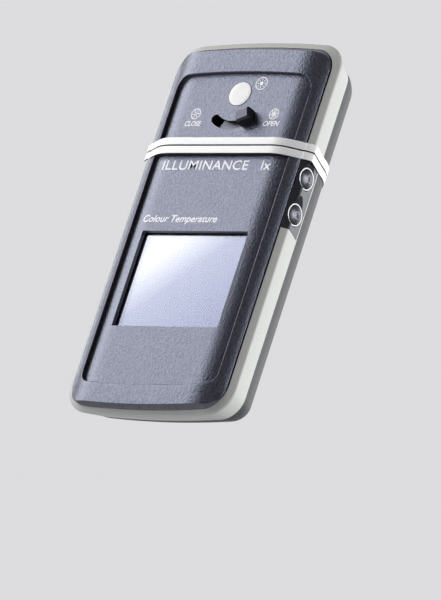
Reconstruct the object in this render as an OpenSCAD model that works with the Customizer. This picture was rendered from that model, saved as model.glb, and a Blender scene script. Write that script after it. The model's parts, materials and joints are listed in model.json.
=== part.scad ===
// Handheld light meter with a swivelling head, a sensor shutter and two side keys.
// Millimetres. +Z runs up the long axis, -Y faces the display side, +X is the key side.
// The origin is the mouth of the tripod socket, in the middle of the back.

/* [Overall] */
// Width across the side frame
body_w = 70; // [64:0.5:80]
// Height from the bottom end to the top end
total_h = 138; // [128:1:160]
// Depth from the front face to the back face
depth = 27; // [25:0.5:32]
// Height of the swivel joint above the bottom end
split_z = 96.5; // [90:0.5:100]
// Height of the tripod socket above the bottom end
socket_z = 50; // [45:1:55]
// Radius of the gently bowed top and bottom ends
end_radius = 330; // [250:10:500]
// Radius of the outer corners
corner_r = 10; // [8:0.5:11]

/* [Front cover] */
// Depth from the front face to the side frame
cover_depth = 4.1; // [3.8:0.1:4.6]
// How far the cover stays inside the widest outline
cover_inset = 2.9; // [2.6:0.1:3.4]
// Radius of the rounded shoulders
shoulder_r = 14.7; // [13:0.1:16]
// Slope of the cover's edge
shoulder_angle = 29.4; // [26:0.2:32]
// Depth of the sunk panel
panel_recess = 1.5; // [1.2:0.1:1.7]
// Margin from the outline to the sunk panel
panel_margin = 6.8; // [6:0.1:8]
// Margin from the bottom end to the sunk panel
panel_bottom = 9.2; // [8:0.1:11]
// Margin from the top end to the sunk panel
panel_top = 14.1; // [12:0.1:16]
// Thickness of the moulded covers
wall = 1.6; // [1.4:0.1:2]

/* [Side frame] */
// Width of the frame's front bevel
bevel_w = 2.45; // [2:0.05:2.8]
// Depth of the frame's front bevel
bevel_depth = 1.56; // [1.4:0.02:1.8]
// Depth of the frame's side wall
side_depth = 8.64; // [8:0.02:9.5]
// Inward lean of the side wall over its depth
side_lean = 3; // [2.5:0.1:3.4]

/* [Window] */
// Width of the display window
window_w = 44.4; // [40:0.2:48]
// Height of the display window
window_h = 34.9; // [30:0.1:37]
// Height of the window's lower edge above the bottom end
window_z = 30.8; // [28:0.2:34]
// Thickness of the window
window_t = 1; // [0.8:0.1:1.2]

/* [Swivel] */
// Height of each white collar
band_h = 2.85; // [2.4:0.05:3.4]
// How far the collars stand proud of the covers
band_proud = 0.35; // [0.2:0.05:0.5]
// Gap between the two collars
band_gap = 0.3; // [0.2:0.05:0.4]
// Outer radius of the hollow spindle
spindle_r = 5; // [4.5:0.1:5.5]
// Radius of the cable hole in the spindle
spindle_bore_r = 3.4; // [3:0.1:3.6]
// Radial clearance of the spindle in its bush
spindle_clearance = 0.05; // [0.03:0.01:0.08]

/* [Sensor head] */
// Height of the sensor axis above the bottom end
sensor_z = 116.4; // [114:0.2:118]
// Radius of the white diffuser
diffuser_r = 4.4; // [4:0.1:5]
// Middle radius of the shutter slot
slot_r = 11.6; // [11:0.05:12]
// Width of the shutter slot
slot_w = 3.3; // [3:0.1:3.6]
// Swing of the shutter lever between open and close
shutter_swing = 72; // [66:1:76]
// Length of the knob along the slot
knob_w = 5.4; // [5:0.1:6]
// Height of the knob across the slot
knob_h = 4.4; // [4:0.1:5]
// How far the knob stands out of the sunk panel
knob_out = 4; // [3:0.1:4.5]

/* [Keys] */
// Radius of a key cap
key_r = 3.15; // [2.8:0.05:3.3]
// Gap around a key cap
key_gap = 0.15; // [0.1:0.01:0.2]
// Width of the bright ring around a key
ring_w = 0.75; // [0.6:0.05:0.9]
// Spacing of the two keys
key_pitch = 13.1; // [12:0.1:14]
// Distance of the upper key below the lower collar
key_below_collar = 5.1; // [4.8:0.1:6]
// Travel of a key
key_travel = 0.5; // [0.4:0.05:0.6]

/* [Tripod socket] */
// Radius of the socket's bore
socket_r = 3.2; // [3.1:0.05:3.3]
// Depth of the socket
socket_depth = 8; // [6:0.5:9]

/* [Screws] */
// Radius of a cover screw's shank
screw_r = 1; // [0.9:0.05:1.1]
// Radius of a cover screw's head
screw_head_r = 1.9; // [1.7:0.05:2]

/* [Hidden] */
$fn = 48;
eps = 0.01;
fit_gap = 0.15;
half_w = body_w / 2;
frame_y = cover_depth;
edge_y = frame_y + bevel_depth;
frame_back_y = edge_y + side_depth;
frame_wall = 4.6;

// Insets of the back cover's outline, from the frame to the flat back
back_inset = side_lean + 0.1;
back_depth = depth - frame_back_y;
function back_y(share) = frame_back_y + back_depth * share;
back_steps = [[0, 0], [0.3, 1.1], [0.62, 3.4], [0.88, 7.2], [1, 11.5]];

// The clear inside of the covers, where the collars' skirts fit
core_gap = 0.2;
core_x = half_w - frame_wall - 1.5;
skirt_wall = 1.2;

// Ends of the covers
cover_end_bottom = 1.9;
cover_end_top = 3.2;
cover_top_setback = 2.4;
frame_end_inset = 2.2;
frame_top_inset = frame_end_inset + 0.6;

// Black seal between a cover and its frame
seal_t = 0.5;
seal_inner = cover_inset + 0.9;
seal_lip = 0.1;

// Locating rims inside the frame
lip_wall = 1.2;
lip_reach = 2.2;

// Swivel joint
axis_y = 14;
lower_top = split_z - band_gap / 2;
lower_end = lower_top - band_h;
head_bottom = split_z + band_gap / 2;
head_start = head_bottom + band_h;
plate_t = 1.5;
play = 0.03;
skirt_h = 2.6;
bush_r = spindle_r + 2.2;
bush_flange_r = bush_r + 1.4;
bush_flange_t = 0.6;
bush_len = 6;
washer_t = 0.5;
clip_t = 1;
clip_r = spindle_r + 1.9;
clip_groove = 0.8;
clip_slot = 3.2;
spindle_tail = bush_len + washer_t + clip_t + 1.6;
cable_r = 2.6;
bore_gap = 0.02;
spindle_flange_r = spindle_r + 2.4;
spindle_flange_t = 1.2;

// Sunk panel and its floor
panel_y = panel_recess;
cover_inner_y = panel_y + wall;
cover_x = half_w - cover_inset;
edge_drop = shoulder_r * (1 - cos(shoulder_angle));
edge_x = cover_x - (cover_depth - edge_drop) / tan(shoulder_angle);
flat_x = edge_x - shoulder_r * sin(shoulder_angle);
pocket_side = half_w - (edge_x - 3.6);
pocket_end = 6;

// Sensor stack, measured from the front
diffuser_y = panel_y - 0.25;
diffuser_step_y = panel_y + 0.8;
diffuser_step_r = diffuser_r + 0.8;
diffuser_back_y = diffuser_step_y + 0.4;
seat_r = diffuser_step_r + 0.4;
seat_bore_r = diffuser_r + 0.2;
disc_y = cover_inner_y + 0.25;
disc_t = 0.8;
disc_r = slot_r + slot_w / 2 + 1.1;
barrel_r = 5.6;
barrel_y = disc_y - 0.1;
barrel_len = 7;
port_r = 1.3;
port_x = 3.3;
boss_r = 1.6;
boss_clearance = 0.06;
shutter_rest = shutter_swing / 2;
stem_out = 1.2;
knob_gap = 0.3;
knob_turn = -14;
knob_edge = 0.6;
stem_r = slot_w / 2 - 0.25;
slot_span = shutter_swing / 2 + 1.5;
sector_tail = slot_span + 25;
sector_lead = 16;
head_board_y = barrel_y + barrel_len;
board_t = 1.6;
spectro_w = 34;
spectro_h = 17;
spectro_d = 7.5;
spectro_corner = 5;

// Key block
key_set_in = 1.95;
key_x = half_w - key_set_in;
key_y = frame_y + 4.2;
key_upper_z = lower_end - key_below_collar;
key_lower_z = key_upper_z - key_pitch;
block_end = key_lower_z - 6.6;
block_back_y = frame_back_y - 0.6;
block_x = half_w - 5.6;
ring_r = key_r + key_gap + ring_w;
ring_t = 1.1;
key_flange_r = key_r + 0.75;
key_flange_t = 0.6;
key_dome = 0.9;
key_flange_x = block_x - 0.15;
switch_h = 0.95;
key_board_x = key_flange_x - key_flange_t - key_travel - 0.05 - switch_h;
key_board_t = 1;
key_board_low = 5;
switch_w = 3;
plunger_r = 0.8;
plunger_out = 0.25;

// Boards and power inside the lower body
board_gap = 0.8;
// Chips on the main board: left, right, low and high below the board's top, height
board_chips = [[-9, 3, 20, 8, 1.4], [8, 15, 14, 7, 1.1]];
plug_w = 32;
plug_h = 5;
plug_t = 1.2;
board_y = cover_inner_y + 5.6;
board_w = body_w - 16;
board_z0 = 12;
board_top = lower_top - spindle_tail - 2.2;
gasket_t = 0.5;
lcd_y = cover_inner_y + window_t + gasket_t;
lcd_t = 2.6;
gasket_w = 1.2;
gasket_lap = 0.4;
lcd_side = 1.6;
lcd_low = 3.4;
lcd_high = 1.8;
cable_low_z = board_top - cable_r - 0.4;
cable_top_z = head_start + 3.4;
battery_w = 34;
battery_h = 44;
battery_d = 6.4;
battery_y = board_y + board_t + 2.2;
battery_z = 11;
battery_notch = 20;
battery_clear = 5.4;
usb_z = 66;
usb_w = 7.4;
usb_h = 9;
usb_t = 3.3;

// Screws join the front posts to the back pillars
post_x = half_w - 13.4;
post_edge = 13.4;
post_below_collar = 6.2;
post_y = 11.5;
post_r = 2.4;
pilot_r = screw_r - 0.15;
low_posts = [for (x = [-post_x, post_x], z = [post_edge, lower_end - post_below_collar]) [x, z]];
head_posts = [for (x = [-post_x, post_x], z = [head_start + post_below_collar, total_h - post_edge])
    [x, z]];
screw_seat_y = depth - 6.8;
screw_head_t = 1.4;
screw_end_y = post_y - 5;
recess_w = 2.4;
recess_t = 0.5;
recess_depth = 0.8;

// Tripod bush: a tube with a flange at its inner end, held in a boss
bush_wall = 2;
bush_rim = 3;
boss_wall = 4.4;
bush_rim_t = 1.4;
bush_inner_y = depth - socket_depth - 1;

// ---- Shared shapes ----

function arc(cx, cy, r, a0, a1, n) =
    [for (i = [0:n]) let (a = a0 + (a1 - a0) * i / n) [cx + r * cos(a), cy + r * sin(a)]];

// Rounded outline in X and Z with bowed ends, from its insets at the sides, bottom and top
function outline(side, bottom, top, r) =
    let (w = half_w - side,
        low = bottom + end_radius,
        high = total_h - top - end_radius,
        rise = sqrt(pow(end_radius - r, 2) - pow(w - r, 2)),
        tip = atan2(rise, w - r))
    concat(arc(w - r, high + rise, r, 0, tip, 6),
        arc(0, high, end_radius, tip, 180 - tip, 8),
        arc(-w + r, high + rise, r, 180 - tip, 180, 6),
        arc(-w + r, low - rise, r, 180, 180 + tip, 6),
        arc(0, low, end_radius, 180 + tip, 360 - tip, 8),
        arc(w - r, low - rise, r, 360 - tip, 360, 6));

// An outline that steps in by the same amount all round
function inset_outline(d) = outline(d, d, d, max(corner_r - d * 0.75, 2));

// The front profile across the width, from the middle to the cover's edge
function shoulder(lift) =
    concat(arc(flat_x, shoulder_r, shoulder_r + lift, -90, shoulder_angle - 90, 8),
        [[cover_x + lift * sin(shoulder_angle),
            edge_drop + (cover_x - edge_x) * tan(shoulder_angle) - lift * cos(shoulder_angle)]]);
function mirrored(pts) = [for (i = [len(pts) - 1:-1:0]) [-pts[i][0], pts[i][1]]];

// Half of the meter's cross-section behind the front cover
function flank() =
    concat([[half_w - bevel_w, frame_y], [half_w, edge_y], [half_w - side_lean, frame_back_y]],
        [for (s = back_steps) if (s[0] > 0) [half_w - back_inset - s[1], back_y(s[0])]]);
function section() =
    let (half = concat(shoulder(0), flank())) concat(half, mirrored(half));

// The clear inside of the covers across the width, made smaller all round by d
function core(d) =
    let (half = concat([[core_x - d, frame_y + core_gap + d], [core_x - d, back_y(0.05)]],
        [for (s = back_steps) if (s[0] > 0.5)
            [half_w - back_inset - s[1] - wall - core_gap - d, back_y(s[0]) - wall - core_gap - d]]))
    concat(half, mirrored(half));

// A closed outline moved outwards by d, each corner mitred
function turn(a, b) = let (v = (b - a) / norm(b - a)) [v[1], -v[0]];
function grow(pts, d) =
    let (n = len(pts))
    [for (i = [0:n - 1])
        let (p = pts[(i + n - 1) % n], c = pts[i], q = pts[(i + 1) % n],
            m = turn(p, c), k = turn(c, q))
        c + (m + k) * d / (1 + m * k)];

// Moves a part drawn from the front face and the bottom end to the socket's origin
module placed() {
    translate([0, -depth, -socket_z]) children();
}

// A plate of the given X-Z outline between two depths
module slab(y0, y1, pts) {
    translate([0, y1, 0]) rotate([90, 0, 0]) linear_extrude(y1 - y0) polygon(pts);
}

// A round bar along Y
module bar_y(x, z, r, y0, y1) {
    translate([x, y1, z]) rotate([90, 0, 0]) cylinder(r = r, h = y1 - y0);
}

// A round bar along X
module bar_x(x0, x1, y, z, r) {
    translate([x0, y, z]) rotate([0, 90, 0]) cylinder(r = r, h = x1 - x0);
}

// A block between two corners
module block(a, b) {
    translate(a) cube(b - a);
}

// Everything below or above the two collars
module below(z) {
    block([-body_w, -depth, -20], [body_w, depth * 2, z]);
}

module above(z) {
    block([-body_w, -depth, z], [body_w, depth * 2, total_h + 20]);
}

// ---- Covers, frames and collars, drawn whole and cut at the swivel ----

module whole_cover() {
    difference() {
        intersection() {
            translate([0, 0, -1])
                linear_extrude(total_h + 2)
                    polygon(concat(shoulder(0), [[cover_x, frame_y], [-cover_x, frame_y]],
                        mirrored(shoulder(0))));
            hull() {
                slab(-eps, 0, outline(cover_inset, cover_end_bottom,
                    cover_end_top + cover_top_setback, corner_r - 2));
                slab(frame_y - eps, frame_y, outline(cover_inset, cover_end_bottom - 0.2,
                    cover_end_top, corner_r - 2));
            }
        }
        intersection() {
            translate([0, 0, -1])
                linear_extrude(total_h + 2)
                    polygon(concat(shoulder(-panel_recess),
                        [[cover_x, -5], [-cover_x, -5]], mirrored(shoulder(-panel_recess))));
            slab(-5, frame_y, panel_outline());
        }
        slab(cover_inner_y, frame_y + 1,
            outline(pocket_side, pocket_end, pocket_end, 3));
    }
}

function panel_outline() = outline(panel_margin, panel_bottom, panel_top, 5);

// A rim that locates a cover inside the frame
module cover_lip() {
    difference() {
        slab(cover_inner_y, frame_y + lip_reach, inset_outline(frame_wall + fit_gap));
        slab(cover_inner_y - 1, frame_y + lip_reach + 1,
            inset_outline(frame_wall + fit_gap + lip_wall));
    }
}

module whole_frame() {
    difference() {
        hull() {
            slab(frame_y, frame_y + eps, outline(bevel_w, frame_end_inset, frame_top_inset,
                corner_r - 1.6));
            slab(edge_y, edge_y + eps, inset_outline(0));
            slab(frame_back_y - eps, frame_back_y, inset_outline(side_lean));
        }
        slab(frame_y - 1, frame_back_y + 1, inset_outline(frame_wall));
        whole_seal(1);
    }
}

module whole_seal(above_ledge = 0) {
    difference() {
        slab(frame_y - above_ledge, frame_y + seal_t, outline(bevel_w + seal_lip,
            frame_end_inset + seal_lip, frame_top_inset + seal_lip, corner_r - 1.7));
        slab(frame_y - 1, frame_y + 1, outline(seal_inner, seal_inner,
            seal_inner + 0.3, corner_r - 2.8));
    }
}

module whole_back() {
    difference() {
        hull()
            for (s = back_steps)
                slab(back_y(s[0]) - (s[0] > 0 ? eps : 0), back_y(s[0]) + (s[0] > 0 ? 0 : eps),
                    inset_outline(back_inset + s[1]));
        hull()
            for (s = back_steps)
                slab(back_y(s[0]) - wall - 0.02, back_y(s[0]) - wall,
                    inset_outline(back_inset + s[1] + wall));
    }
    difference() {
        slab(frame_back_y - 2, frame_back_y + 1.5, inset_outline(frame_wall + fit_gap));
        slab(frame_back_y - 3, frame_back_y + 2, inset_outline(frame_wall + fit_gap + lip_wall));
    }
}

module posts(places) {
    for (p = places)
        bar_y(p[0], p[1], post_r, cover_inner_y - 0.5, post_y);
}

module pillars(places) {
    for (p = places)
        bar_y(p[0], p[1], screw_head_r + 1.1, post_y, depth - wall);
}

module pilot_holes(places) {
    for (p = places)
        bar_y(p[0], p[1], pilot_r, cover_inner_y + 0.6, post_y + 1);
}

module screw_holes(places) {
    for (p = places) {
        bar_y(p[0], p[1], screw_r + fit_gap, post_y - 1, depth + 1);
        bar_y(p[0], p[1], screw_head_r + fit_gap, screw_seat_y, depth + 1);
    }
}

module screws(places) {
    for (p = places)
        difference() {
            union() {
                bar_y(p[0], p[1], pilot_r, screw_end_y, post_y);
                bar_y(p[0], p[1], screw_r, post_y, screw_seat_y + eps);
                bar_y(p[0], p[1], screw_head_r, screw_seat_y, screw_seat_y + screw_head_t);
            }
            translate([p[0], screw_seat_y + screw_head_t + eps, p[1]])
                rotate([90, 0, 0])
                    for (a = [0, 90])
                        rotate([0, 0, a])
                            translate([-recess_w / 2, -recess_t / 2, 0])
                                cube([recess_w, recess_t, recess_depth]);
        }
}

// A collar: a proud band with a closed plate and a skirt that slips into the covers
module collar(z, plate_z, skirt_z) {
    difference() {
        union() {
            intersection() {
                translate([0, 0, z]) linear_extrude(band_h) polygon(grow(section(), band_proud));
                block([-body_w, -depth, z], [body_w, depth, z + band_h]);
            }
            translate([0, 0, skirt_z]) linear_extrude(skirt_h)
                polygon(core(0));
        }
        difference() {
            translate([0, 0, min(z, skirt_z) - 1])
                linear_extrude(band_h + skirt_h + 2) polygon(core(skirt_wall));
            block([-half_w, 0, plate_z], [half_w, depth, plate_z + plate_t]);
        }
        translate([0, axis_y, z - skirt_h - 1])
            cylinder(r = spindle_r + bore_gap, h = band_h + 2 * skirt_h + 2);
    }
}

// ---- Lower body ----

module front_cover() {
    color([0.36, 0.36, 0.43])
        placed()
            difference() {
                intersection() {
                    union() {
                        whole_cover();
                        cover_lip();
                        posts(low_posts);
                    }
                    below(lower_end);
                }
                block([-window_w / 2, -1, window_z],
                    [window_w / 2, cover_inner_y + 1, window_z + window_h]);
                pilot_holes(low_posts);
                key_room(fit_gap);
            }
}

module front_seal() {
    color([0.03, 0.03, 0.03])
        placed()
            difference() {
                intersection() {
                    whole_seal();
                    below(lower_end);
                }
                key_room(fit_gap);
            }
}

module side_frame() {
    color([0.78, 0.79, 0.76])
        placed()
            difference() {
                intersection() {
                    whole_frame();
                    below(lower_end);
                }
                key_room(0);
                usb_space(fit_gap);
            }
}

module back_cover() {
    color([0.16, 0.16, 0.18])
        placed()
            difference() {
                intersection() {
                    union() {
                        whole_back();
                        pillars(low_posts);
                        bar_y(0, socket_z, socket_r + boss_wall, bush_inner_y - bush_rim_t - 0.2,
                            depth - wall);
                    }
                    below(lower_end);
                }
                screw_holes(low_posts);
                bar_y(0, socket_z, socket_r + bush_wall, bush_inner_y - 2, depth + 1);
                bar_y(0, socket_z, socket_r + bush_rim, bush_inner_y - 2, bush_inner_y + 1);
                key_room(fit_gap);
                usb_space(fit_gap);
            }
}

module lower_collar() {
    color([0.93, 0.93, 0.91])
        placed()
            difference() {
                collar(lower_end, lower_top - plate_t, lower_end - skirt_h);
                translate([0, axis_y, lower_end - 1]) cylinder(r = bush_r, h = band_h + 2);
                translate([0, axis_y, lower_top - bush_flange_t])
                    cylinder(r = bush_flange_r + 0.1, h = 1);
                key_room(fit_gap, lower_end);
            }
}

module display_window() {
    color([0.75, 0.8, 0.95, 0.5])
        placed()
            block([-window_w / 2 - gasket_w, cover_inner_y, window_z - gasket_w],
                [window_w / 2 + gasket_w, cover_inner_y + window_t, window_z + window_h + gasket_w]);
}

module display_gasket() {
    color([0.02, 0.02, 0.02])
        placed()
            difference() {
                block([-window_w / 2 - gasket_w, cover_inner_y + window_t, window_z - gasket_w],
                    [window_w / 2 + gasket_w, lcd_y, window_z + window_h + gasket_w]);
                block([-window_w / 2 + gasket_lap, 0, window_z + gasket_lap],
                    [window_w / 2 - gasket_lap, depth, window_z + window_h - gasket_lap]);
            }
}

module display_module() {
    color([0.72, 0.72, 0.9])
        placed()
            block([-window_w / 2 - lcd_side, lcd_y, window_z - lcd_low],
                [window_w / 2 + lcd_side, lcd_y + lcd_t, window_z + window_h + lcd_high]);
}

module main_board() {
    color([0.05, 0.28, 0.16])
        placed()
            difference() {
                union() {
                    block([-board_w / 2, board_y, board_z0],
                        [board_w / 2, board_y + board_t, board_top]);
                    for (c = board_chips)
                        block([c[0], board_y + board_t, board_top - c[2]],
                            [c[1], board_y + board_t + c[4], board_top - c[3]]);
                    block([-plug_w / 2, board_y - plug_t, board_z0 + 1],
                        [plug_w / 2, board_y, board_z0 + 1 + plug_h]);
                }
                for (p = low_posts)
                    bar_y(p[0], p[1], post_r + board_gap, 0, depth);
                block([key_board_x - key_board_t - board_gap, 0, key_lower_z - key_board_low - 1],
                    [half_w, depth, total_h]);
            }
}

module battery_pack() {
    color([0.5, 0.52, 0.56])
        placed()
            union() {
                block([-battery_w / 2, battery_y, battery_z],
                    [battery_w / 2, battery_y + battery_d, battery_z + battery_h - battery_notch]);
                difference() {
                    block([-battery_w / 2, battery_y, battery_z + battery_h - battery_notch],
                        [battery_w / 2, battery_y + battery_d, battery_z + battery_h]);
                    bar_y(0, socket_z, socket_r + battery_clear, 0, depth);
                    block([-socket_r - battery_clear, 0, socket_z],
                        [socket_r + battery_clear, depth, total_h]);
                }
            }
}

module usb_space(gap) {
    block([-half_w - 1, board_y + board_t - gap, usb_z - usb_h / 2 - gap],
        [-board_w / 2 + usb_w, board_y + board_t + usb_t + gap, usb_z + usb_h / 2 + gap]);
}

module usb_socket() {
    color([0.7, 0.7, 0.72])
        placed()
            difference() {
                block([-half_w + side_lean + 0.6, board_y + board_t, usb_z - usb_h / 2],
                    [-board_w / 2 + usb_w - 1, board_y + board_t + usb_t, usb_z + usb_h / 2]);
                block([-half_w, board_y + board_t + 0.35, usb_z - usb_h / 2 + 0.35],
                    [-board_w / 2 + usb_w - 2, board_y + board_t + usb_t - 0.35,
                        usb_z + usb_h / 2 - 0.35]);
            }
}

module tripod_bush() {
    color([0.72, 0.6, 0.32])
        placed()
            difference() {
                union() {
                    bar_y(0, socket_z, socket_r + bush_wall, bush_inner_y, depth);
                    bar_y(0, socket_z, socket_r + bush_rim, bush_inner_y - bush_rim_t, bush_inner_y + 1);
                }
                bar_y(0, socket_z, socket_r, depth - socket_depth, depth + 1);
            }
}

module cover_screws() {
    color([0.25, 0.25, 0.27]) placed() screws(low_posts);
}

// ---- Keys ----

// The room that the key block takes in the frame and in the covers' lips
module key_room(gap, top = lower_end + 1) {
    block([block_x - 4, frame_y, block_end - gap], [half_w + 5, block_back_y + gap, top]);
}

module key_block() {
    color([0.05, 0.05, 0.06])
        placed()
            difference() {
                intersection() {
                    translate([0, 0, block_end])
                        linear_extrude(lower_end - block_end) polygon(section());
                    block([block_x, frame_y, block_end],
                        [half_w + 1, block_back_y, lower_end]);
                }
                for (z = [key_upper_z, key_lower_z]) {
                    bar_x(key_x - ring_t, half_w + 2, key_y, z, ring_r);
                    bar_x(0, half_w + 2, key_y, z, key_r + key_gap);
                    scoop(z);
                }
            }
}

// The hollow that opens the block above a key
module scoop(z) {
    translate([key_x + 3.2, key_y, z + 2.9])
        rotate([0, 38, 0])
            cylinder(r = ring_r * 0.92, h = 9, center = true);
}

module key_rings() {
    color([0.8, 0.8, 0.8])
        placed()
            for (z = [key_upper_z, key_lower_z])
                difference() {
                    bar_x(key_x - ring_t, key_x + 0.25, key_y, z, ring_r);
                    bar_x(key_x - ring_t - 1, key_x + 1, key_y, z, key_r + key_gap);
                }
}

// A domed cap with a flange behind the block that keeps it in
module key_cap(z) {
    dome_r = (key_r * key_r + key_dome * key_dome) / (2 * key_dome);
    length = key_x + 0.2 - key_flange_x;
    crown = asin(key_r / dome_r);
    translate([key_flange_x, key_y, z])
        rotate([0, 90, 0])
            rotate_extrude()
                polygon(concat([[0, -key_flange_t], [key_flange_r, -key_flange_t],
                        [key_flange_r, 0], [key_r, 0]],
                    arc(0, length + key_dome - dome_r, dome_r, 90 - crown, 90, 8)));
}

module key_upper() {
    color([0.12, 0.12, 0.14]) placed() key_cap(key_upper_z);
}

module key_lower() {
    color([0.12, 0.12, 0.14]) placed() key_cap(key_lower_z);
}

module key_board() {
    color([0.05, 0.28, 0.16])
        placed()
            block([key_board_x - key_board_t, key_y - 3, key_lower_z - key_board_low],
                [key_board_x, key_y + 4.6, key_upper_z + 2.4]);
}

// Two small switches, each with a round plunger that stops just short of its key
module key_switches() {
    color([0.6, 0.6, 0.62])
        placed()
            for (z = [key_upper_z, key_lower_z])
                union() {
                    block([key_board_x, key_y - switch_w / 2, z - switch_w / 2],
                        [key_board_x + switch_h - plunger_out, key_y + switch_w / 2,
                            z + switch_w / 2]);
                    bar_x(key_board_x, key_board_x + switch_h, key_y, z, plunger_r);
                }
}

// ---- Swivel ----

module swivel_bush() {
    color([0.75, 0.62, 0.35])
        placed()
            translate([0, axis_y, lower_top])
                difference() {
                    union() {
                        translate([0, 0, -bush_len]) cylinder(r = bush_r - bore_gap, h = bush_len);
                        translate([0, 0, -bush_flange_t])
                            cylinder(r = bush_flange_r, h = bush_flange_t);
                    }
                    translate([0, 0, -bush_len - 1])
                        cylinder(r = spindle_r + spindle_clearance, h = bush_len + 2);
                }
}

module swivel_spindle() {
    color([0.7, 0.7, 0.72])
        placed()
            translate([0, axis_y, lower_top])
                difference() {
                    union() {
                        translate([0, 0, -spindle_tail])
                            cylinder(r = spindle_r, h = spindle_tail + band_gap + band_h);
                        translate([0, 0, band_gap + plate_t])
                            cylinder(r = spindle_flange_r, h = spindle_flange_t);
                    }
                    translate([0, 0, -spindle_tail - 1])
                        cylinder(r = spindle_bore_r, h = spindle_tail + band_h + 4);
                    translate([0, 0, -bush_len - play - washer_t - clip_t])
                        difference() {
                            cylinder(r = spindle_r + 1, h = clip_t);
                            translate([0, 0, -1])
                                cylinder(r = spindle_r - clip_groove, h = clip_t + 3);
                        }
                }
}

module friction_washer() {
    color([0.65, 0.6, 0.5])
        placed()
            translate([0, axis_y, lower_top - bush_len - play - washer_t])
                difference() {
                    cylinder(r = bush_r, h = washer_t);
                    translate([0, 0, -1]) cylinder(r = spindle_r + 0.1, h = 3);
                }
}

module spindle_clip() {
    color([0.3, 0.3, 0.32])
        placed()
            translate([0, axis_y, lower_top - bush_len - play - washer_t - clip_t])
                difference() {
                    cylinder(r = clip_r, h = clip_t);
                    translate([0, 0, -1]) cylinder(r = spindle_r - clip_groove + bore_gap, h = 3);
                    block([-clip_slot / 2, 0, -1], [clip_slot / 2, clip_r + 1, clip_t + 1]);
                }
}

// A round cable on the swivel axis, turned down to the main board's connector
module swivel_cable() {
    color([0.06, 0.06, 0.07])
        placed()
            union() {
                translate([0, axis_y, cable_low_z])
                    cylinder(r = cable_r, h = cable_top_z - cable_low_z);
                translate([0, axis_y, cable_low_z]) sphere(r = cable_r);
                bar_y(0, cable_low_z, cable_r, board_y + board_t, axis_y);
            }
}

// ---- Head ----

module head_cover() {
    color([0.36, 0.36, 0.43])
        placed()
            difference() {
                intersection() {
                    union() {
                        whole_cover();
                        cover_lip();
                        posts(head_posts);
                    }
                    above(head_start);
                }
                bar_y(0, sensor_z, diffuser_r + fit_gap, -1, cover_inner_y + 1);
                bar_y(0, sensor_z, seat_r, diffuser_step_y, cover_inner_y + 1);
                slot_shape(-1, cover_inner_y + 1);
                pilot_holes(head_posts);
            }
}

// The curved slot, from one end of the lever's swing to the other
module slot_shape(y0, y1) {
    translate([0, y1, sensor_z])
        rotate([90, 0, 0]) {
            rotate([0, 0, -90 - slot_span])
                rotate_extrude(angle = 2 * slot_span, $fn = 96)
                    translate([slot_r - slot_w / 2, 0]) square([slot_w, y1 - y0]);
            for (a = [-slot_span, slot_span])
                rotate([0, 0, a - 90])
                    translate([slot_r, 0, 0]) cylinder(r = slot_w / 2, h = y1 - y0);
        }
}

module head_seal() {
    color([0.03, 0.03, 0.03])
        placed()
            intersection() {
                whole_seal();
                above(head_start);
            }
}

module head_frame() {
    color([0.78, 0.79, 0.76])
        placed()
            intersection() {
                whole_frame();
                above(head_start);
            }
}

module head_back() {
    color([0.16, 0.16, 0.18])
        placed()
            difference() {
                intersection() {
                    union() {
                        whole_back();
                        pillars(head_posts);
                    }
                    above(head_start);
                }
                screw_holes(head_posts);
            }
}

module upper_collar() {
    color([0.93, 0.93, 0.91])
        placed() collar(head_bottom, head_bottom, head_start);
}

module head_screws() {
    color([0.25, 0.25, 0.27]) placed() screws(head_posts);
}

module diffuser() {
    color([0.95, 0.95, 0.95])
        placed()
            union() {
                bar_y(0, sensor_z, diffuser_r, diffuser_y, diffuser_back_y);
                bar_y(0, sensor_z, diffuser_step_r, diffuser_step_y, diffuser_back_y);
            }
}

module diffuser_seat() {
    color([0.05, 0.05, 0.05])
        placed()
            difference() {
                bar_y(0, sensor_z, seat_r, diffuser_step_y, cover_inner_y);
                bar_y(0, sensor_z, diffuser_step_r, -1, diffuser_back_y);
                bar_y(0, sensor_z, seat_bore_r, -1, cover_inner_y + 1);
            }
}

// A light-tight barrel: its nose carries the shutter disc and has one small light port
module sensor_barrel() {
    color([0.07, 0.07, 0.08])
        placed()
            difference() {
                union() {
                    bar_y(0, sensor_z, barrel_r, disc_y + disc_t + 0.15, head_board_y);
                    bar_y(0, sensor_z, boss_r, disc_y - 0.1, head_board_y);
                }
                bar_y(0, sensor_z, barrel_r - 1.2, disc_y + disc_t + 1.4, head_board_y + 1);
                bar_y(port_x, sensor_z, port_r - 0.4, disc_y, barrel_y + 4);
            }
}

module sensor_board() {
    color([0.05, 0.28, 0.16])
        placed()
            difference() {
                block([-23, head_board_y, head_start + 3.8], [23, head_board_y + board_t, total_h - 7]);
                for (p = head_posts)
                    bar_y(p[0], p[1], screw_head_r + 1.9, 0, depth);
            }
}

module spectrometer() {
    color([0.1, 0.1, 0.11])
        placed()
            difference() {
                block([-spectro_w / 2, head_board_y + board_t, sensor_z - spectro_h / 2],
                    [spectro_w / 2, head_board_y + board_t + spectro_d, sensor_z + spectro_h / 2]);
                translate([spectro_w / 2 - spectro_corner, 0, sensor_z + spectro_h / 2 - spectro_corner])
                    rotate([0, 45, 0])
                        block([0, 0, -10], [20, depth, 10]);
            }
}

// ---- Shutter: it turns about the sensor axis ----

// Rotates a part about the sensor axis, its lever pointing straight down when a is zero
module about_sensor(a, y0) {
    translate([0, y0, sensor_z]) rotate([0, -a, 0]) rotate([90, 0, 0]) children();
}

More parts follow.
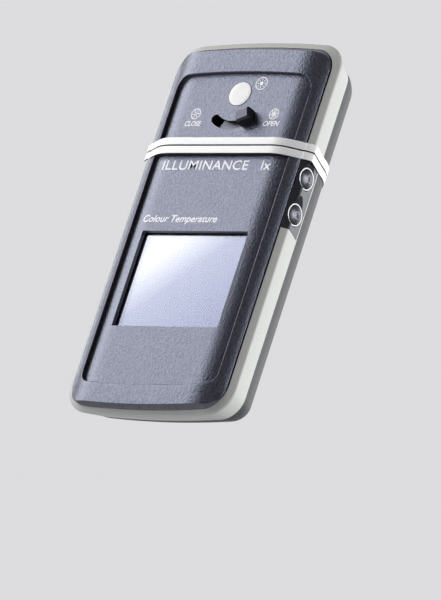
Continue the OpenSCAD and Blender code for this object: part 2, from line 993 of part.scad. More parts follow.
module shutter_disc() {
    color([0.42, 0.42, 0.47])
        placed()
            difference() {
                about_sensor(shutter_rest, disc_y + disc_t)
                    union() {
                        cylinder(r = barrel_r - 0.4, h = disc_t);
                        rotate([0, 0, -90 - sector_tail])
                            rotate_extrude(angle = sector_tail + sector_lead, $fn = 96)
                                translate([barrel_r - 1.4, 0])
                                    square([disc_r - barrel_r + 1.4, disc_t]);
                        translate([0, -slot_r, 0])
                            cylinder(r = stem_r, h = disc_t + disc_y - panel_y + stem_out);
                    }
                bar_y(0, sensor_z, boss_r + boss_clearance, 0, depth);
                bar_y(port_x, sensor_z, port_r, 0, depth);
            }
}

module shutter_knob() {
    color([0.06, 0.06, 0.07])
        placed()
            about_sensor(shutter_rest, panel_y - knob_gap)
                translate([0, -slot_r, 0])
                    difference() {
                        rotate([0, 0, knob_turn])
                            hull() {
                                translate([-knob_w / 2, -knob_h / 2, 0])
                                    cube([knob_w, knob_h, knob_out - knob_gap - knob_edge]);
                                translate([-knob_w / 2 + knob_edge, -knob_h / 2 + knob_edge, 0])
                                    cube([knob_w - 2 * knob_edge, knob_h - 2 * knob_edge,
                                        knob_out - knob_gap]);
                            }
                        translate([0, 0, -1]) cylinder(r = stem_r, h = 1 + stem_out - knob_gap);
                    }
}

module shutter_clip() {
    color([0.6, 0.6, 0.62])
        placed()
            difference() {
                bar_y(0, sensor_z, boss_r + 1, disc_y - 0.35, disc_y - 0.05);
                bar_y(0, sensor_z, boss_r, disc_y - 0.1, depth);
            }
}

front_cover();
front_seal();
side_frame();
back_cover();
lower_collar();
display_window();
display_gasket();
display_module();
main_board();
battery_pack();
usb_socket();
tripod_bush();
cover_screws();
key_block();
key_rings();
key_upper();
key_lower();
key_board();
key_switches();
swivel_bush();
swivel_cable();
head_cover();
head_seal();
head_frame();
head_back();
upper_collar();
head_screws();
swivel_spindle();
friction_washer();
spindle_clip();
diffuser();
diffuser_seat();
sensor_barrel();
sensor_board();
spectrometer();
shutter_disc();
shutter_knob();
shutter_clip();
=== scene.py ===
# %% [markdown]
# # A handheld light meter
# The meter is a slim upright housing: a dark grained front, a light frame round its
# sides, a dark rounded back, two white collars where the head swivels, a window over
# the display, a round white diffuser with a shutter lever, and two domed keys in the
# right side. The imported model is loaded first. Every piece made here is laid exactly
# on it, so the shapes follow the same sizes, in millimetres, as the model's own.

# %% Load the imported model
import json
import math

import bmesh
import bpy
from mathutils import Matrix, Vector, kdtree


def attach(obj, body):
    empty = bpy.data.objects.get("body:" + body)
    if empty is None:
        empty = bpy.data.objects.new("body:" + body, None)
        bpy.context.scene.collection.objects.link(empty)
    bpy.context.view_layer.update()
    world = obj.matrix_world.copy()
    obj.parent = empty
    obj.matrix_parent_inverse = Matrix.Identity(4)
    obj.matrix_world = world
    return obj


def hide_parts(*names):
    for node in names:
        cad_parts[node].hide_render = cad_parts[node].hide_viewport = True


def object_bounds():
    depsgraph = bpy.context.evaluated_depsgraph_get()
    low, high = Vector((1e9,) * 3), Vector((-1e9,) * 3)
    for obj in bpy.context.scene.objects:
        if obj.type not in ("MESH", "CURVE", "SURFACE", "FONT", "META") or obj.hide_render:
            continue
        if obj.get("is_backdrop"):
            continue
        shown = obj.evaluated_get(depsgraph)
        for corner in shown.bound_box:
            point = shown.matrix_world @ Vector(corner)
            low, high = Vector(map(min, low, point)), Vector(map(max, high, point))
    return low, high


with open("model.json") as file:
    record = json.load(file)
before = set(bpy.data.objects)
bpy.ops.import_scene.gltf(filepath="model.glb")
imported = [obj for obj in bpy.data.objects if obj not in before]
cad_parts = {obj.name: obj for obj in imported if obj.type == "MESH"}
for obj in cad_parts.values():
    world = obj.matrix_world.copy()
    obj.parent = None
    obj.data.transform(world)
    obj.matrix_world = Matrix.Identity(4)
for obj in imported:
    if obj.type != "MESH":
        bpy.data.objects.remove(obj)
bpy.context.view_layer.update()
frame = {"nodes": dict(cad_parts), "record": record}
nodes = frame["nodes"]

# %% [markdown]
# ## The camera
# A camera comes before any shape, so that each piece is judged from one fixed place.
# It stands far off with a long lens, a little to the right and below, and is rolled so
# that the meter leans. A long lens keeps the edges nearly parallel, as on a product
# that is seen from a few metres.

# %% Place the camera
CAMERA_SPOT = Vector((1.494986, -1.673900, -0.825899))
CAMERA_RIGHT = Vector((0.78007, 0.55372, 0.29135))
CAMERA_DOWN = Vector((0.01192, 0.45241, -0.89173))
CAMERA_AHEAD = Vector((-0.62558, 0.69909, 0.34631))

camera_data = bpy.data.cameras.new("camera")
camera_data.lens = 437.03
camera_data.sensor_width = 36
camera_data.clip_start = 0.05
camera_data.clip_end = 60
camera = bpy.data.objects.new("camera", camera_data)
bpy.context.collection.objects.link(camera)
turned = Matrix((CAMERA_RIGHT, -CAMERA_DOWN, -CAMERA_AHEAD)).transposed()
camera.matrix_world = Matrix.Translation(CAMERA_SPOT) @ turned.to_4x4()
bpy.context.scene.camera = camera
print("camera", [round(v, 3) for v in camera.location])

# %% [markdown]
# ## Sizes
# The sizes are counted as a maker would: X from the middle, depth back from the front
# face and height up from the bottom end. `at` turns such a spot into the model's own
# frame, whose origin is the mouth of the tripod socket.

# %% Sizes of the housing
DEPTH = 27.0
SOCKET_Z = 50.0
HALF_W = 35.0
TOTAL_H = 138.0
END_R = 330.0
FRAME_Y = 4.1
EDGE_Y = 5.66
BACK_Y = 14.3
COVER_X = 32.1
SHOULDER_R = 14.7
SLOPE = math.radians(29.4)
EDGE_DROP = SHOULDER_R * (1 - math.cos(SLOPE))
EDGE_X = COVER_X - (FRAME_Y - EDGE_DROP) / math.tan(SLOPE)
FLAT_X = EDGE_X - SHOULDER_R * math.sin(SLOPE)
RECESS = 1.5
LOWER_END = 93.5
LOWER_TOP = 96.35
HEAD_BOTTOM = 96.65
HEAD_START = 99.5
SENSOR_Z = 116.4


def at(x, y, z):
    return Vector((x, y - DEPTH, z - SOCKET_Z)) / 1000


print("flat front to", round(FLAT_X, 2), "sloping from", round(EDGE_X, 2))

# %% [markdown]
# ## Working by hand, in code
# Operators act on whatever is selected, so each step begins by selecting nothing.
# The housing's pieces are drawn as a pile of rings: a circle is added, its corners are
# laid on the first ring, and its face is extruded once for every ring that follows.
# This is how a shell is drawn by hand, and it keeps clean rows of faces that carry a
# highlight well.

# %% Helpers for selecting, lofting and rounding
def deselect():
    if bpy.context.object and bpy.context.object.mode != "OBJECT":
        bpy.ops.object.mode_set(mode="OBJECT")
    bpy.ops.object.select_all(action="DESELECT")


def pick(piece):
    deselect()
    piece.select_set(True)
    bpy.context.view_layer.objects.active = piece


def bridge_ends(piece, mesh, ends):
    """Takes the two end faces away and joins the openings that they leave."""
    for face in ends:
        mesh.faces.remove(face)
    for edge in mesh.edges:
        edge.select = len(edge.link_faces) == 1
    bmesh.update_edit_mesh(piece.data)
    bpy.ops.mesh.select_mode(type="EDGE")
    bpy.ops.mesh.bridge_edge_loops()
    bpy.ops.mesh.select_mode(type="VERT")


def face_outwards():
    """Turns every face of the piece being edited outwards and ends the editing."""
    bpy.ops.mesh.select_all(action="SELECT")
    bpy.ops.mesh.normals_make_consistent(inside=False)
    bpy.ops.object.mode_set(mode="OBJECT")


def loft(name, rings, tube=False):
    """Piles up rings of equal count. A tube joins its last ring to its first."""
    deselect()
    bpy.ops.mesh.primitive_circle_add(vertices=len(rings[0]), radius=0.01, fill_type="NGON")
    piece = bpy.context.object
    piece.name = piece.data.name = name
    bpy.ops.object.mode_set(mode="EDIT")
    mesh = bmesh.from_edit_mesh(piece.data)
    mesh.verts.ensure_lookup_table()
    spots = [at(*spot) for spot in rings[0]]
    for vert, spot in zip(mesh.verts, spots):
        vert.co = spot
    for ring in rings[1:]:
        bpy.ops.mesh.extrude_region_move()
        mesh = bmesh.from_edit_mesh(piece.data)
        finder = kdtree.KDTree(len(spots))
        for index, spot in enumerate(spots):
            finder.insert(spot, index)
        finder.balance()
        spots = [at(*spot) for spot in ring]
        for vert in [v for v in mesh.verts if v.select]:
            vert.co = spots[finder.find(vert.co)[1]]
    if tube:
        bridge_ends(piece, mesh, [f for f in mesh.faces if len(f.verts) > 4])
    face_outwards()
    return piece


def soften(rings, reaches, steps=3):
    """Rounds the corner at each numbered ring, over its reach to both sides."""
    done = []
    for number, ring in enumerate(rings):
        reach = reaches.get(number, 0)
        if not reach:
            done.append(ring)
            continue
        rows = [[] for _ in range(steps + 1)]
        for before, here, after in zip(rings[number - 1], ring, rings[number + 1]):
            here = Vector(here)
            start, end = Vector(before) - here, Vector(after) - here
            start = here + start.normalized() * min(reach, start.length * 0.45)
            end = here + end.normalized() * min(reach, end.length * 0.45)
            for row, step in zip(rows, range(steps + 1)):
                t = step / steps
                row.append(start * (1 - t) ** 2 + here * 2 * t * (1 - t) + end * t * t)
        done += rows
    return done


def smooth(piece, degrees=28):
    pick(piece)
    bpy.ops.object.shade_smooth_by_angle(angle=math.radians(degrees))


print("helpers ready")

# %% [markdown]
# ## The outline and the front's curve
# Seen from the front the housing is a tall rectangle with round corners and gently
# bowed ends. Across its width the front is flat in the middle and falls away in a
# round shoulder. Both are simple arcs, so they are written as formulas and every
# piece of the housing shares them.

# %% Outline and front curve
CORNER_STEPS = 9
END_STEPS = 26
SIDE_STEPS = 22


def arc(cx, cz, r, start, end, steps, ends=True):
    numbers = range(steps + 1) if ends else range(1, steps)
    angles = [start + (end - start) * i / steps for i in numbers]
    return [(cx + r * math.cos(a), cz + r * math.sin(a)) for a in angles]


def outline(side, bottom, top, r):
    w = HALF_W - side
    low, high = bottom + END_R, TOTAL_H - top - END_R
    rise = math.sqrt((END_R - r) ** 2 - (w - r) ** 2)
    tip = math.atan2(rise, w - r)
    full = 2 * math.pi
    run = (high + rise) - (low - rise)
    heights = [low - rise + run * i / SIDE_STEPS for i in range(1, SIDE_STEPS)]
    return (
        arc(w - r, high + rise, r, 0, tip, CORNER_STEPS)
        + arc(0, high, END_R, tip, math.pi - tip, END_STEPS, False)
        + arc(-w + r, high + rise, r, math.pi - tip, math.pi, CORNER_STEPS)
        + [(-w, z) for z in reversed(heights)]
        + arc(-w + r, low - rise, r, math.pi, math.pi + tip, CORNER_STEPS)
        + arc(0, low, END_R, math.pi + tip, full - tip, END_STEPS, False)
        + arc(w - r, low - rise, r, full - tip, full, CORNER_STEPS)
        + [(w, z) for z in heights]
    )


def ring_at(y, side, bottom, top, r):
    return [(x, y, z) for x, z in outline(side, bottom, top, r)]


def inset_ring(y, d):
    return ring_at(y, d, d, d, max(10 - d * 0.75, 2))


def front(x, sunk=0.0):
    """Depth of the front face at x, or of a face sunk below it by the same distance."""
    x, r = abs(x), SHOULDER_R - sunk
    if x <= FLAT_X:
        return sunk
    turn_x = FLAT_X + r * math.sin(SLOPE)
    if x <= turn_x:
        return SHOULDER_R - math.sqrt(r * r - (x - FLAT_X) ** 2)
    return SHOULDER_R - r * math.cos(SLOPE) + (x - turn_x) * math.tan(SLOPE)


print("corners in one ring:", len(outline(0, 0, 0, 10)))

# %% [markdown]
# ## Shared effects for the finishes
# Two effects come back in many finishes, so each is a node group with named inputs.
# Moulded grain is the fine spark-eroded texture of a plastic mould: small round bumps,
# plus a slow drift in tone. Worn edges lightens corners that hands and pockets polish.
# Both read object coordinates, so the pattern stays fixed to the piece.

# %% Node groups for grain and wear
COLOR, NUMBER = "NodeSocketColor", "NodeSocketFloat"


def new_group(name, inputs, outputs):
    group = bpy.data.node_groups.new(name, "ShaderNodeTree")
    for label, kind, value in inputs:
        socket = group.interface.new_socket(name=label, in_out="INPUT", socket_type=kind)
        socket.default_value = value
    for label, kind in outputs:
        group.interface.new_socket(name=label, in_out="OUTPUT", socket_type=kind)
    return group, group.nodes.new("NodeGroupInput"), group.nodes.new("NodeGroupOutput")


def dial(node, values):
    """Sets constants on a node's own sockets, by name or by number."""
    for socket, value in values.items():
        node.inputs[socket].default_value = value


def add(tree, kind, values=None, **settings):
    """Adds a node with its settings and the constants on its sockets."""
    node = tree.nodes.new(kind)
    for key, value in settings.items():
        setattr(node, key, value)
    dial(node, values or {})
    return node


def wire(tree, *links):
    """Joins sockets. Each link is a node and its output, then a node and its input."""
    for giver, given, taker, taken in links:
        tree.links.new(giver.outputs[given], taker.inputs[taken])


grain_group, into, out = new_group(
    "moulded grain",
    [("Color", COLOR, (0.1, 0.1, 0.1, 1)), ("Drift", NUMBER, 0.06),
     ("Grain Size", NUMBER, 2600.0), ("Speckle", NUMBER, 0.12), ("Roughness", NUMBER, 0.45)],
    [("Color", COLOR), ("Roughness", NUMBER), ("Height", NUMBER)],
)
spot = add(grain_group, "ShaderNodeTexCoord")
fine = add(grain_group, "ShaderNodeTexNoise", {"Detail": 2.5, "Roughness": 0.55})
slow = add(grain_group, "ShaderNodeTexNoise", {"Scale": 14, "Detail": 3})
centre_slow = add(grain_group, "ShaderNodeMath", {1: 0.5}, operation="SUBTRACT")
drift = add(grain_group, "ShaderNodeMath", operation="MULTIPLY")
centre_fine = add(grain_group, "ShaderNodeMath", {1: 0.5}, operation="SUBTRACT")
speckle = add(grain_group, "ShaderNodeMath", operation="MULTIPLY")
both = add(grain_group, "ShaderNodeMath", operation="ADD")
level = add(grain_group, "ShaderNodeMath", {1: 2.0, 2: 1.0}, operation="MULTIPLY_ADD")
tone = add(grain_group, "ShaderNodeVectorMath", operation="SCALE")
rough = add(grain_group, "ShaderNodeMath", {1: -0.15}, operation="MULTIPLY_ADD", use_clamp=True)
wire(grain_group, (spot, "Object", fine, "Vector"), (spot, "Object", slow, "Vector"),
     (into, "Grain Size", fine, "Scale"), (slow, "Fac", centre_slow, 0),
     (centre_slow, 0, drift, 0), (into, "Drift", drift, 1), (fine, "Fac", centre_fine, 0),
     (centre_fine, 0, speckle, 0), (into, "Speckle", speckle, 1), (drift, 0, both, 0),
     (speckle, 0, both, 1), (both, 0, level, 0), (into, "Color", tone, 0),
     (level, 0, tone, "Scale"), (tone, 0, out, "Color"), (both, 0, rough, 0),
     (into, "Roughness", rough, 2), (rough, 0, out, "Roughness"), (fine, "Fac", out, "Height"))

wear_group, into, out = new_group(
    "worn edges",
    [("Color", COLOR, (0.1, 0.1, 0.1, 1)), ("Worn Color", COLOR, (0.4, 0.4, 0.4, 1)),
     ("Amount", NUMBER, 0.35)],
    [("Color", COLOR), ("Mask", NUMBER)],
)
shape = add(wear_group, "ShaderNodeNewGeometry")
edge = add(wear_group, "ShaderNodeMapRange", {"From Min": 0.535, "From Max": 0.62})
spot = add(wear_group, "ShaderNodeTexCoord")
patch = add(wear_group, "ShaderNodeTexNoise", {"Scale": 420, "Detail": 4})
broken = add(wear_group, "ShaderNodeMapRange", {"From Min": 0.38, "From Max": 0.68})
mask = add(wear_group, "ShaderNodeMath", operation="MULTIPLY")
amount = add(wear_group, "ShaderNodeMath", operation="MULTIPLY")
mix = add(wear_group, "ShaderNodeMix", data_type="RGBA")
wire(wear_group, (shape, "Pointiness", edge, "Value"), (spot, "Object", patch, "Vector"),
     (patch, "Fac", broken, "Value"), (edge, 0, mask, 0), (broken, 0, mask, 1),
     (mask, 0, amount, 0), (into, "Amount", amount, 1), (amount, 0, mix, "Factor"),
     (into, "Color", mix, "A"), (into, "Worn Color", mix, "B"), (mix, "Result", out, "Color"),
     (amount, 0, out, "Mask"))
print("groups", [g.name for g in bpy.data.node_groups])

# %% [markdown]
# ## The finishes
# Most pieces are moulded plastic, so one helper mixes a plastic from the two groups: a
# tone, a roughness, the size and height of its grain and how pale its corners wear.
# Values that are the same all over a piece, such as its coat or its metalness, are set
# straight on the shader.

# %% Plastics
def new_finish(name):
    finish = bpy.data.materials.new(name)
    finish.use_nodes = True
    return finish, finish.node_tree, finish.node_tree.nodes["Principled BSDF"]


def plastic(name, color, roughness, worn, grain=2600.0, bump=0.12, drift=0.06,
            speckle=0.12, wear=0.35, coat=0.0, level=0.5, tint=(1, 1, 1), deep=0.2):
    finish, tree, shader = new_finish(name)
    dial(shader, {"Coat Weight": coat, "Coat Roughness": 0.08, "Specular IOR Level": level,
                  "Specular Tint": (*tint, 1)})
    grained = add(tree, "ShaderNodeGroup", node_tree=grain_group)
    dial(grained, {"Color": (*color, 1), "Grain Size": grain, "Drift": drift,
                   "Speckle": speckle, "Roughness": roughness})
    edges = add(tree, "ShaderNodeGroup", node_tree=wear_group)
    dial(edges, {"Worn Color": (*worn, 1), "Amount": wear})
    height = add(tree, "ShaderNodeBump", {"Strength": bump, "Distance": deep / 1000})
    wire(tree, (grained, "Color", edges, "Color"), (edges, "Color", shader, "Base Color"),
         (grained, "Roughness", shader, "Roughness"), (grained, "Height", height, "Height"),
         (height, "Normal", shader, "Normal"))
    return finish


finishes = {
    # The cover's pale edges are partly wear and partly a painted highlight along its edge lines.
    "cover_plastic": plastic("cover plastic", (0.036, 0.037, 0.048), 0.34, (0.26, 0.26, 0.32),
                             grain=1500, bump=0.68, speckle=2.0, wear=0.35, drift=0.1,
                             level=1.0, tint=(0.70, 0.75, 1.0), deep=0.25),
    "frame_plastic": plastic("frame plastic", (0.47, 0.48, 0.46), 0.46, (0.60, 0.60, 0.58),
                             grain=3000, bump=0.12, speckle=0.05, wear=0.4, drift=0.02),
    "back_plastic": plastic("back plastic", (0.045, 0.046, 0.052), 0.48, (0.18, 0.18, 0.20),
                            grain=1900, bump=0.45, speckle=0.25, wear=0.45, drift=0.03,
                            deep=0.35),
    "collar_plastic": plastic("collar plastic", (0.84, 0.84, 0.84), 0.34, (0.90, 0.90, 0.89),
                              grain=3200, bump=0.06, drift=0.03, speckle=0.03, wear=0.2),
    "seal_rubber": plastic("seal rubber", (0.010, 0.010, 0.011), 0.62, (0.05, 0.05, 0.05),
                           grain=1500, bump=0.2, wear=0.2),
    "key_gloss": plastic("key gloss", (0.012, 0.012, 0.014), 0.34, (0.08, 0.08, 0.09),
                         grain=900, bump=0.03, speckle=0.05, wear=0.3, level=0.8,
                         tint=(0.8, 0.84, 1.0)),
    "black_plastic": plastic("black plastic", (0.012, 0.012, 0.015), 0.34, (0.07, 0.07, 0.08),
                             grain=2200, bump=0.16, wear=0.6, level=0.6,
                             tint=(0.75, 0.76, 1.0)),
    "shutter_plate": plastic("shutter plate", (0.055, 0.057, 0.085), 0.42,
                             (0.4, 0.4, 0.42), grain=2400, bump=0.15, speckle=0.15,
                             wear=0.1, level=0.8, tint=(0.75, 0.80, 1.0)),
    "battery_wrap": plastic("battery wrap", (0.16, 0.19, 0.25), 0.28, (0.5, 0.5, 0.55),
                            grain=500, bump=0.10, drift=0.2, speckle=0.05, coat=0.3),
}
print("plastics", sorted(finishes))

# %% [markdown]
# The shutter's plate is grey at its rim and black towards its middle: painted shade, for the shadow
# that lies deep in the slot above the plate. The distance from the sensor's axis draws the line
# between the two, and because the plate turns about that axis the line stays where it belongs.

# %% Paint shade on the middle of the shutter plate
# Inside this radius the plate is painted black as shade, for the shadow in the slot.
PAINTED_SHADE_R, PAINTED_SHADE_BLUR = 11.5, 0.15
tree = finishes["shutter_plate"].node_tree
shader = tree.nodes["Principled BSDF"]
tinted = shader.inputs["Base Color"].links[0].from_socket
spot = add(tree, "ShaderNodeTexCoord")
flat = add(tree, "ShaderNodeMapping", {"Location": (0, 0, (SOCKET_Z - SENSOR_Z) / 1000),
                                       "Scale": (1, 0, 1)})
far = add(tree, "ShaderNodeVectorMath", operation="LENGTH")
rim = add(tree, "ShaderNodeMapRange", {"From Min": PAINTED_SHADE_R / 1000,
                                       "From Max": (PAINTED_SHADE_R + PAINTED_SHADE_BLUR) / 1000})
painted_shade = add(tree, "ShaderNodeMix", {"A": (0.006, 0.006, 0.007, 1)}, data_type="RGBA")
wire(tree, (spot, "Object", flat, "Vector"), (flat, "Vector", far, 0),
     (far, "Value", rim, "Value"), (rim, 0, painted_shade, "Factor"))
tree.links.new(tinted, painted_shade.inputs["B"])
tree.links.new(painted_shade.outputs["Result"], shader.inputs["Base Color"])
print("plate blacked inside", PAINTED_SHADE_R)

# %% [markdown]
# ## Metals
# Turned brass, steel and the bright rings differ from plastic by their metalness. Fine
# brushed lines come from a noise that is stretched along one direction, and they feed
# both the roughness and the bump.

# %% Metals
def metal(name, color, roughness, bump=0.08):
    finish, tree, shader = new_finish(name)
    dial(shader, {"Metallic": 1.0})
    spot = add(tree, "ShaderNodeTexCoord")
    stretch = add(tree, "ShaderNodeMapping", {"Scale": (1.0, 1.0, 30.0)})
    lines = add(tree, "ShaderNodeTexNoise", {"Scale": 900.0, "Detail": 3})
    spread = add(tree, "ShaderNodeMapRange", {"To Min": roughness * 0.75,
                                              "To Max": roughness * 1.3})
    shade = add(tree, "ShaderNodeMix", {"A": (*[c * 0.82 for c in color], 1),
                                        "B": (*color, 1)}, data_type="RGBA")
    height = add(tree, "ShaderNodeBump", {"Strength": bump, "Distance": 0.0001})
    wire(tree, (spot, "Object", stretch, "Vector"), (stretch, "Vector", lines, "Vector"),
         (lines, "Fac", spread, "Value"), (spread, 0, shader, "Roughness"),
         (lines, "Fac", shade, "Factor"), (shade, "Result", shader, "Base Color"),
         (lines, "Fac", height, "Height"), (height, "Normal", shader, "Normal"))
    return finish


finishes["bright_steel"] = metal("bright steel", (0.62, 0.62, 0.64), 0.26)
finishes["screw_steel"] = metal("screw steel", (0.12, 0.12, 0.13), 0.34)
finishes["brass_insert"] = metal("brass insert", (0.76, 0.58, 0.28), 0.26)
finishes["ring_chrome"] = metal("ring chrome", (0.50, 0.51, 0.54), 0.55, bump=0.03)
print("metals done")

# %% [markdown]
# ## Glass, display, diffuser and board
# The window is clear glass that keeps a plain transmission. The display behind it glows by itself,
# brightest at one corner and falling off across the panel: partly its backlight, partly a painted
# reflection of the soft box on the glass.
# The diffuser is opal plastic, which lets light in and scatters it, so it gets some
# subsurface. The circuit board has a green mask with fine copper tracks under it.

# %% Glass, display, diffuser and board finishes
def ramp(tree, first, last, between=()):
    """A colour ramp. Each stop is a place from 0 to 1 and a colour."""
    node = add(tree, "ShaderNodeValToRGB")
    stops = node.color_ramp.elements
    for stop, (place_on, color) in zip(stops, (first, last)):
        stop.position, stop.color = place_on, (*color, 1)
    for place_on, color in between:
        stops.new(place_on).color = (*color, 1)
    return node


finishes["window_glass"], tree, shader = new_finish("window glass")
dial(shader, {"Base Color": (0.96, 0.97, 1.0, 1), "Transmission Weight": 1.0, "IOR": 1.25})
spot = add(tree, "ShaderNodeTexCoord")
smear = add(tree, "ShaderNodeTexNoise", {"Scale": 130, "Detail": 3})
haze = add(tree, "ShaderNodeMapRange", {"From Min": 0.45, "From Max": 0.8, "To Min": 0.02,
                                        "To Max": 0.045})
wire(tree, (spot, "Object", smear, "Vector"), (smear, "Fac", haze, "Value"),
     (haze, 0, shader, "Roughness"))

finishes["display_panel"], tree, shader = new_finish("display panel")
dial(shader, {"Roughness": 0.2, "Emission Strength": 1.0, "Specular IOR Level": 0.1})
spot = add(tree, "ShaderNodeTexCoord")
slant = add(tree, "ShaderNodeMapping", {"Location": (0.5, 0.0, 0.0), "Scale": (19, 19, 19),
                                        "Rotation": (0, math.radians(-50), 0)})
sweep = add(tree, "ShaderNodeTexGradient")
# The pale end of this ramp is a painted reflection of the soft box, laid over the backlight.
backlight_and_glare = ramp(tree, (0.22, (0.80, 0.81, 0.88)), (0.95, (0.22, 0.245, 0.40)),
            [(0.48, (0.36, 0.39, 0.54))])
dots = add(tree, "ShaderNodeTexChecker", {"Scale": 5200, "Color1": (1, 1, 1, 1),
                                          "Color2": (0.992, 0.992, 0.995, 1)})
grid = add(tree, "ShaderNodeMix", {"Factor": 1.0}, data_type="RGBA", blend_type="MULTIPLY")
dark = add(tree, "ShaderNodeMix", {"Factor": 1.0, "B": (0.12, 0.12, 0.13, 1)},
           data_type="RGBA", blend_type="MULTIPLY")
wire(tree, (spot, "Object", slant, "Vector"), (slant, "Vector", sweep, "Vector"),
     (sweep, "Fac", backlight_and_glare, "Fac"), (spot, "Object", dots, "Vector"), (backlight_and_glare, "Color", grid, "A"),
     (dots, "Color", grid, "B"), (grid, "Result", shader, "Emission Color"),
     (grid, "Result", dark, "A"), (dark, "Result", shader, "Base Color"))

finishes["opal_diffuser"] = plastic("opal diffuser", (0.80, 0.80, 0.80), 0.42,
                                    (0.86, 0.86, 0.86), grain=1800, bump=0.08, drift=0.04,
                                    speckle=0.03, wear=0.2)
dial(finishes["opal_diffuser"].node_tree.nodes["Principled BSDF"],
     {"Subsurface Weight": 0.35, "Subsurface Radius": (0.0012, 0.0012, 0.0012)})

finishes["circuit_board"], tree, shader = new_finish("circuit board")
dial(shader, {"Roughness": 0.35})
spot = add(tree, "ShaderNodeTexCoord")
tracks = add(tree, "ShaderNodeTexBrick", {
    "Scale": 260, "Mortar Size": 0.05, "Color1": (0.012, 0.085, 0.045, 1),
    "Color2": (0.014, 0.095, 0.05, 1), "Mortar": (0.03, 0.17, 0.08, 1)})
raised = add(tree, "ShaderNodeBump", {"Strength": 0.15, "Distance": 0.00005})
wire(tree, (spot, "Object", tracks, "Vector"), (tracks, "Color", shader, "Base Color"),
     (tracks, "Fac", raised, "Height"), (raised, "Normal", shader, "Normal"))

ink = plastic("printed ink", (0.93, 0.94, 0.97), 0.55, (0.8, 0.8, 0.85), grain=900,
              bump=0.03, drift=0.03, speckle=0.04, wear=0.05)
print("finishes", len(finishes) + 1)

# %% [markdown]
# ## Finishing a piece
# Every finished piece stands for a node of the model, moves with that node's body and
# takes its finish from one of the record's slots. One helper does all three, and a few
# small ones cut a piece at a height, carve it with another piece and copy it.

# %% Helpers for placing, cutting, carving and copying
node_body = {n: b for b, names in frame["record"]["behaviour"]["bodies"].items() for n in names}
made = []


def place(piece, node, slot, finish=None, replaces=True):
    piece.data.materials.clear()
    piece.data.materials.append(finish or finishes[slot])
    ready(piece, node, slot, replaces)


def ready(piece, node, slot, replaces=True):
    if replaces:
        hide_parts(node)
    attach(piece, node_body[node])
    made.append(piece.name)


def copy_of(piece, name):
    pick(piece)
    bpy.ops.object.duplicate()
    twin = bpy.context.object
    twin.name = twin.data.name = name
    return twin


def cut(piece, z, keep_above):
    pick(piece)
    bpy.ops.object.mode_set(mode="EDIT")
    bpy.ops.mesh.select_all(action="SELECT")
    bpy.ops.mesh.bisect(plane_co=at(0, 0, z), plane_no=(0, 0, 1), use_fill=True,
                        clear_inner=keep_above, clear_outer=not keep_above)
    bpy.ops.object.mode_set(mode="OBJECT")


def halves(lower_name, head_name, rings, tube=False):
    """Lofts one whole moulding and parts it at the swivel."""
    lower = loft(lower_name, rings, tube)
    head = copy_of(lower, head_name)
    cut(lower, LOWER_END, keep_above=False)
    cut(head, HEAD_START, keep_above=True)
    return lower, head


def carve(piece, cutter, inner=None):
    """Cuts with another piece, which is used up. The new faces may get another finish."""
    cutter.data.materials.clear()
    if inner:
        cutter.data.materials.append(inner)
    pick(piece)
    change = piece.modifiers.new("carve", "BOOLEAN")
    change.operation = "DIFFERENCE"
    change.object = cutter
    change.solver = "EXACT"
    change.material_mode = "TRANSFER" if inner else "INDEX"
    bpy.ops.object.modifier_apply(modifier=change.name)
    bpy.data.objects.remove(cutter)


def join(pieces, name):
    pick(pieces[0])
    for piece in pieces:
        piece.select_set(True)
    bpy.ops.object.join()
    whole = bpy.context.object
    whole.name = whole.data.name = name
    return whole


def lathe(x, y, z, profile, axis, count):
    """Turns a profile of (radius, distance) about an axis that starts at one spot."""
    rings = []
    for radius, reach in profile:
        ring = []
        for i in range(count):
            a = 2 * math.pi * i / count
            u, v = radius * math.cos(a), radius * math.sin(a)
            ring.append({"y": (x + u, y + reach, z + v), "x": (x + reach, y + u, z + v),
                         "z": (x + u, y + v, z + reach)}[axis])
        rings.append(ring)
    return rings


def turned_part(name, x, y, z, profile, axis="y", count=48, tube=False):
    piece = loft(name, lathe(x, y, z, profile, axis, count), tube)
    smooth(piece, 30)
    return piece


def slab(name, points, y0, y1):
    """A plate with the given outline in X and Z."""
    return loft(name, [[(x, y, z) for x, z in points] for y in (y0, y1)])


def rounded_box(x0, x1, z0, z1, r, steps=5):
    half = math.pi / 2
    return (arc(x1 - r, z1 - r, r, 0, half, steps) + arc(x0 + r, z1 - r, r, half, 2 * half, steps)
            + arc(x0 + r, z0 + r, r, 2 * half, 3 * half, steps)
            + arc(x1 - r, z0 + r, r, 3 * half, 4 * half, steps))


# %% [markdown]
# ## The front cover and the head cover
# Both covers are one grained moulding that is cut at the swivel. Its rings start at the
# floor of the hollow behind, run out to the edge, over the square end face and the
# shoulder, down the small step of the sunk panel and then inwards until the panel is
# flat. The corners are rounded a little, because a moulded edge is never sharp and the
# thin bright line on it is what makes the part read as plastic.

# %% Loft the covers
# An edge is set in from the side, the bottom and the top, and has a corner radius.
POCKET = (10.4, 6, 6, 3)
COVER_FOOT = (2.9, 1.7, 3.2, 8)
COVER_LIP = (2.9, 1.9, 5.6, 8)
PANEL_EDGE = (6.8, 9.2, 14.1, 5)
COVER_BASE = FRAME_Y - 0.3


def cover_between(share):
    """A ring on the front, from the cover's edge (0) to the sunk panel's edge (1)."""
    mix = [a + (b - a) * share for a, b in zip(COVER_LIP, PANEL_EDGE)]
    return [(x, front(x), z) for x, z in outline(*mix)]


def cover_edge():
    ring = []
    for (x, low_z), (_, high_z) in zip(outline(*COVER_FOOT), outline(*COVER_LIP)):
        y = min(front(x), COVER_BASE - 0.25)
        share = 1 - y / FRAME_Y
        ring.append((x, y, low_z + (high_z - low_z) * share))
    return ring


def panel_ring(d):
    side, bottom, top, r = PANEL_EDGE
    return [(x, front(x, RECESS), z)
            for x, z in outline(side + d, bottom + d, top + d, max(r - d * 0.6, 1.2))]


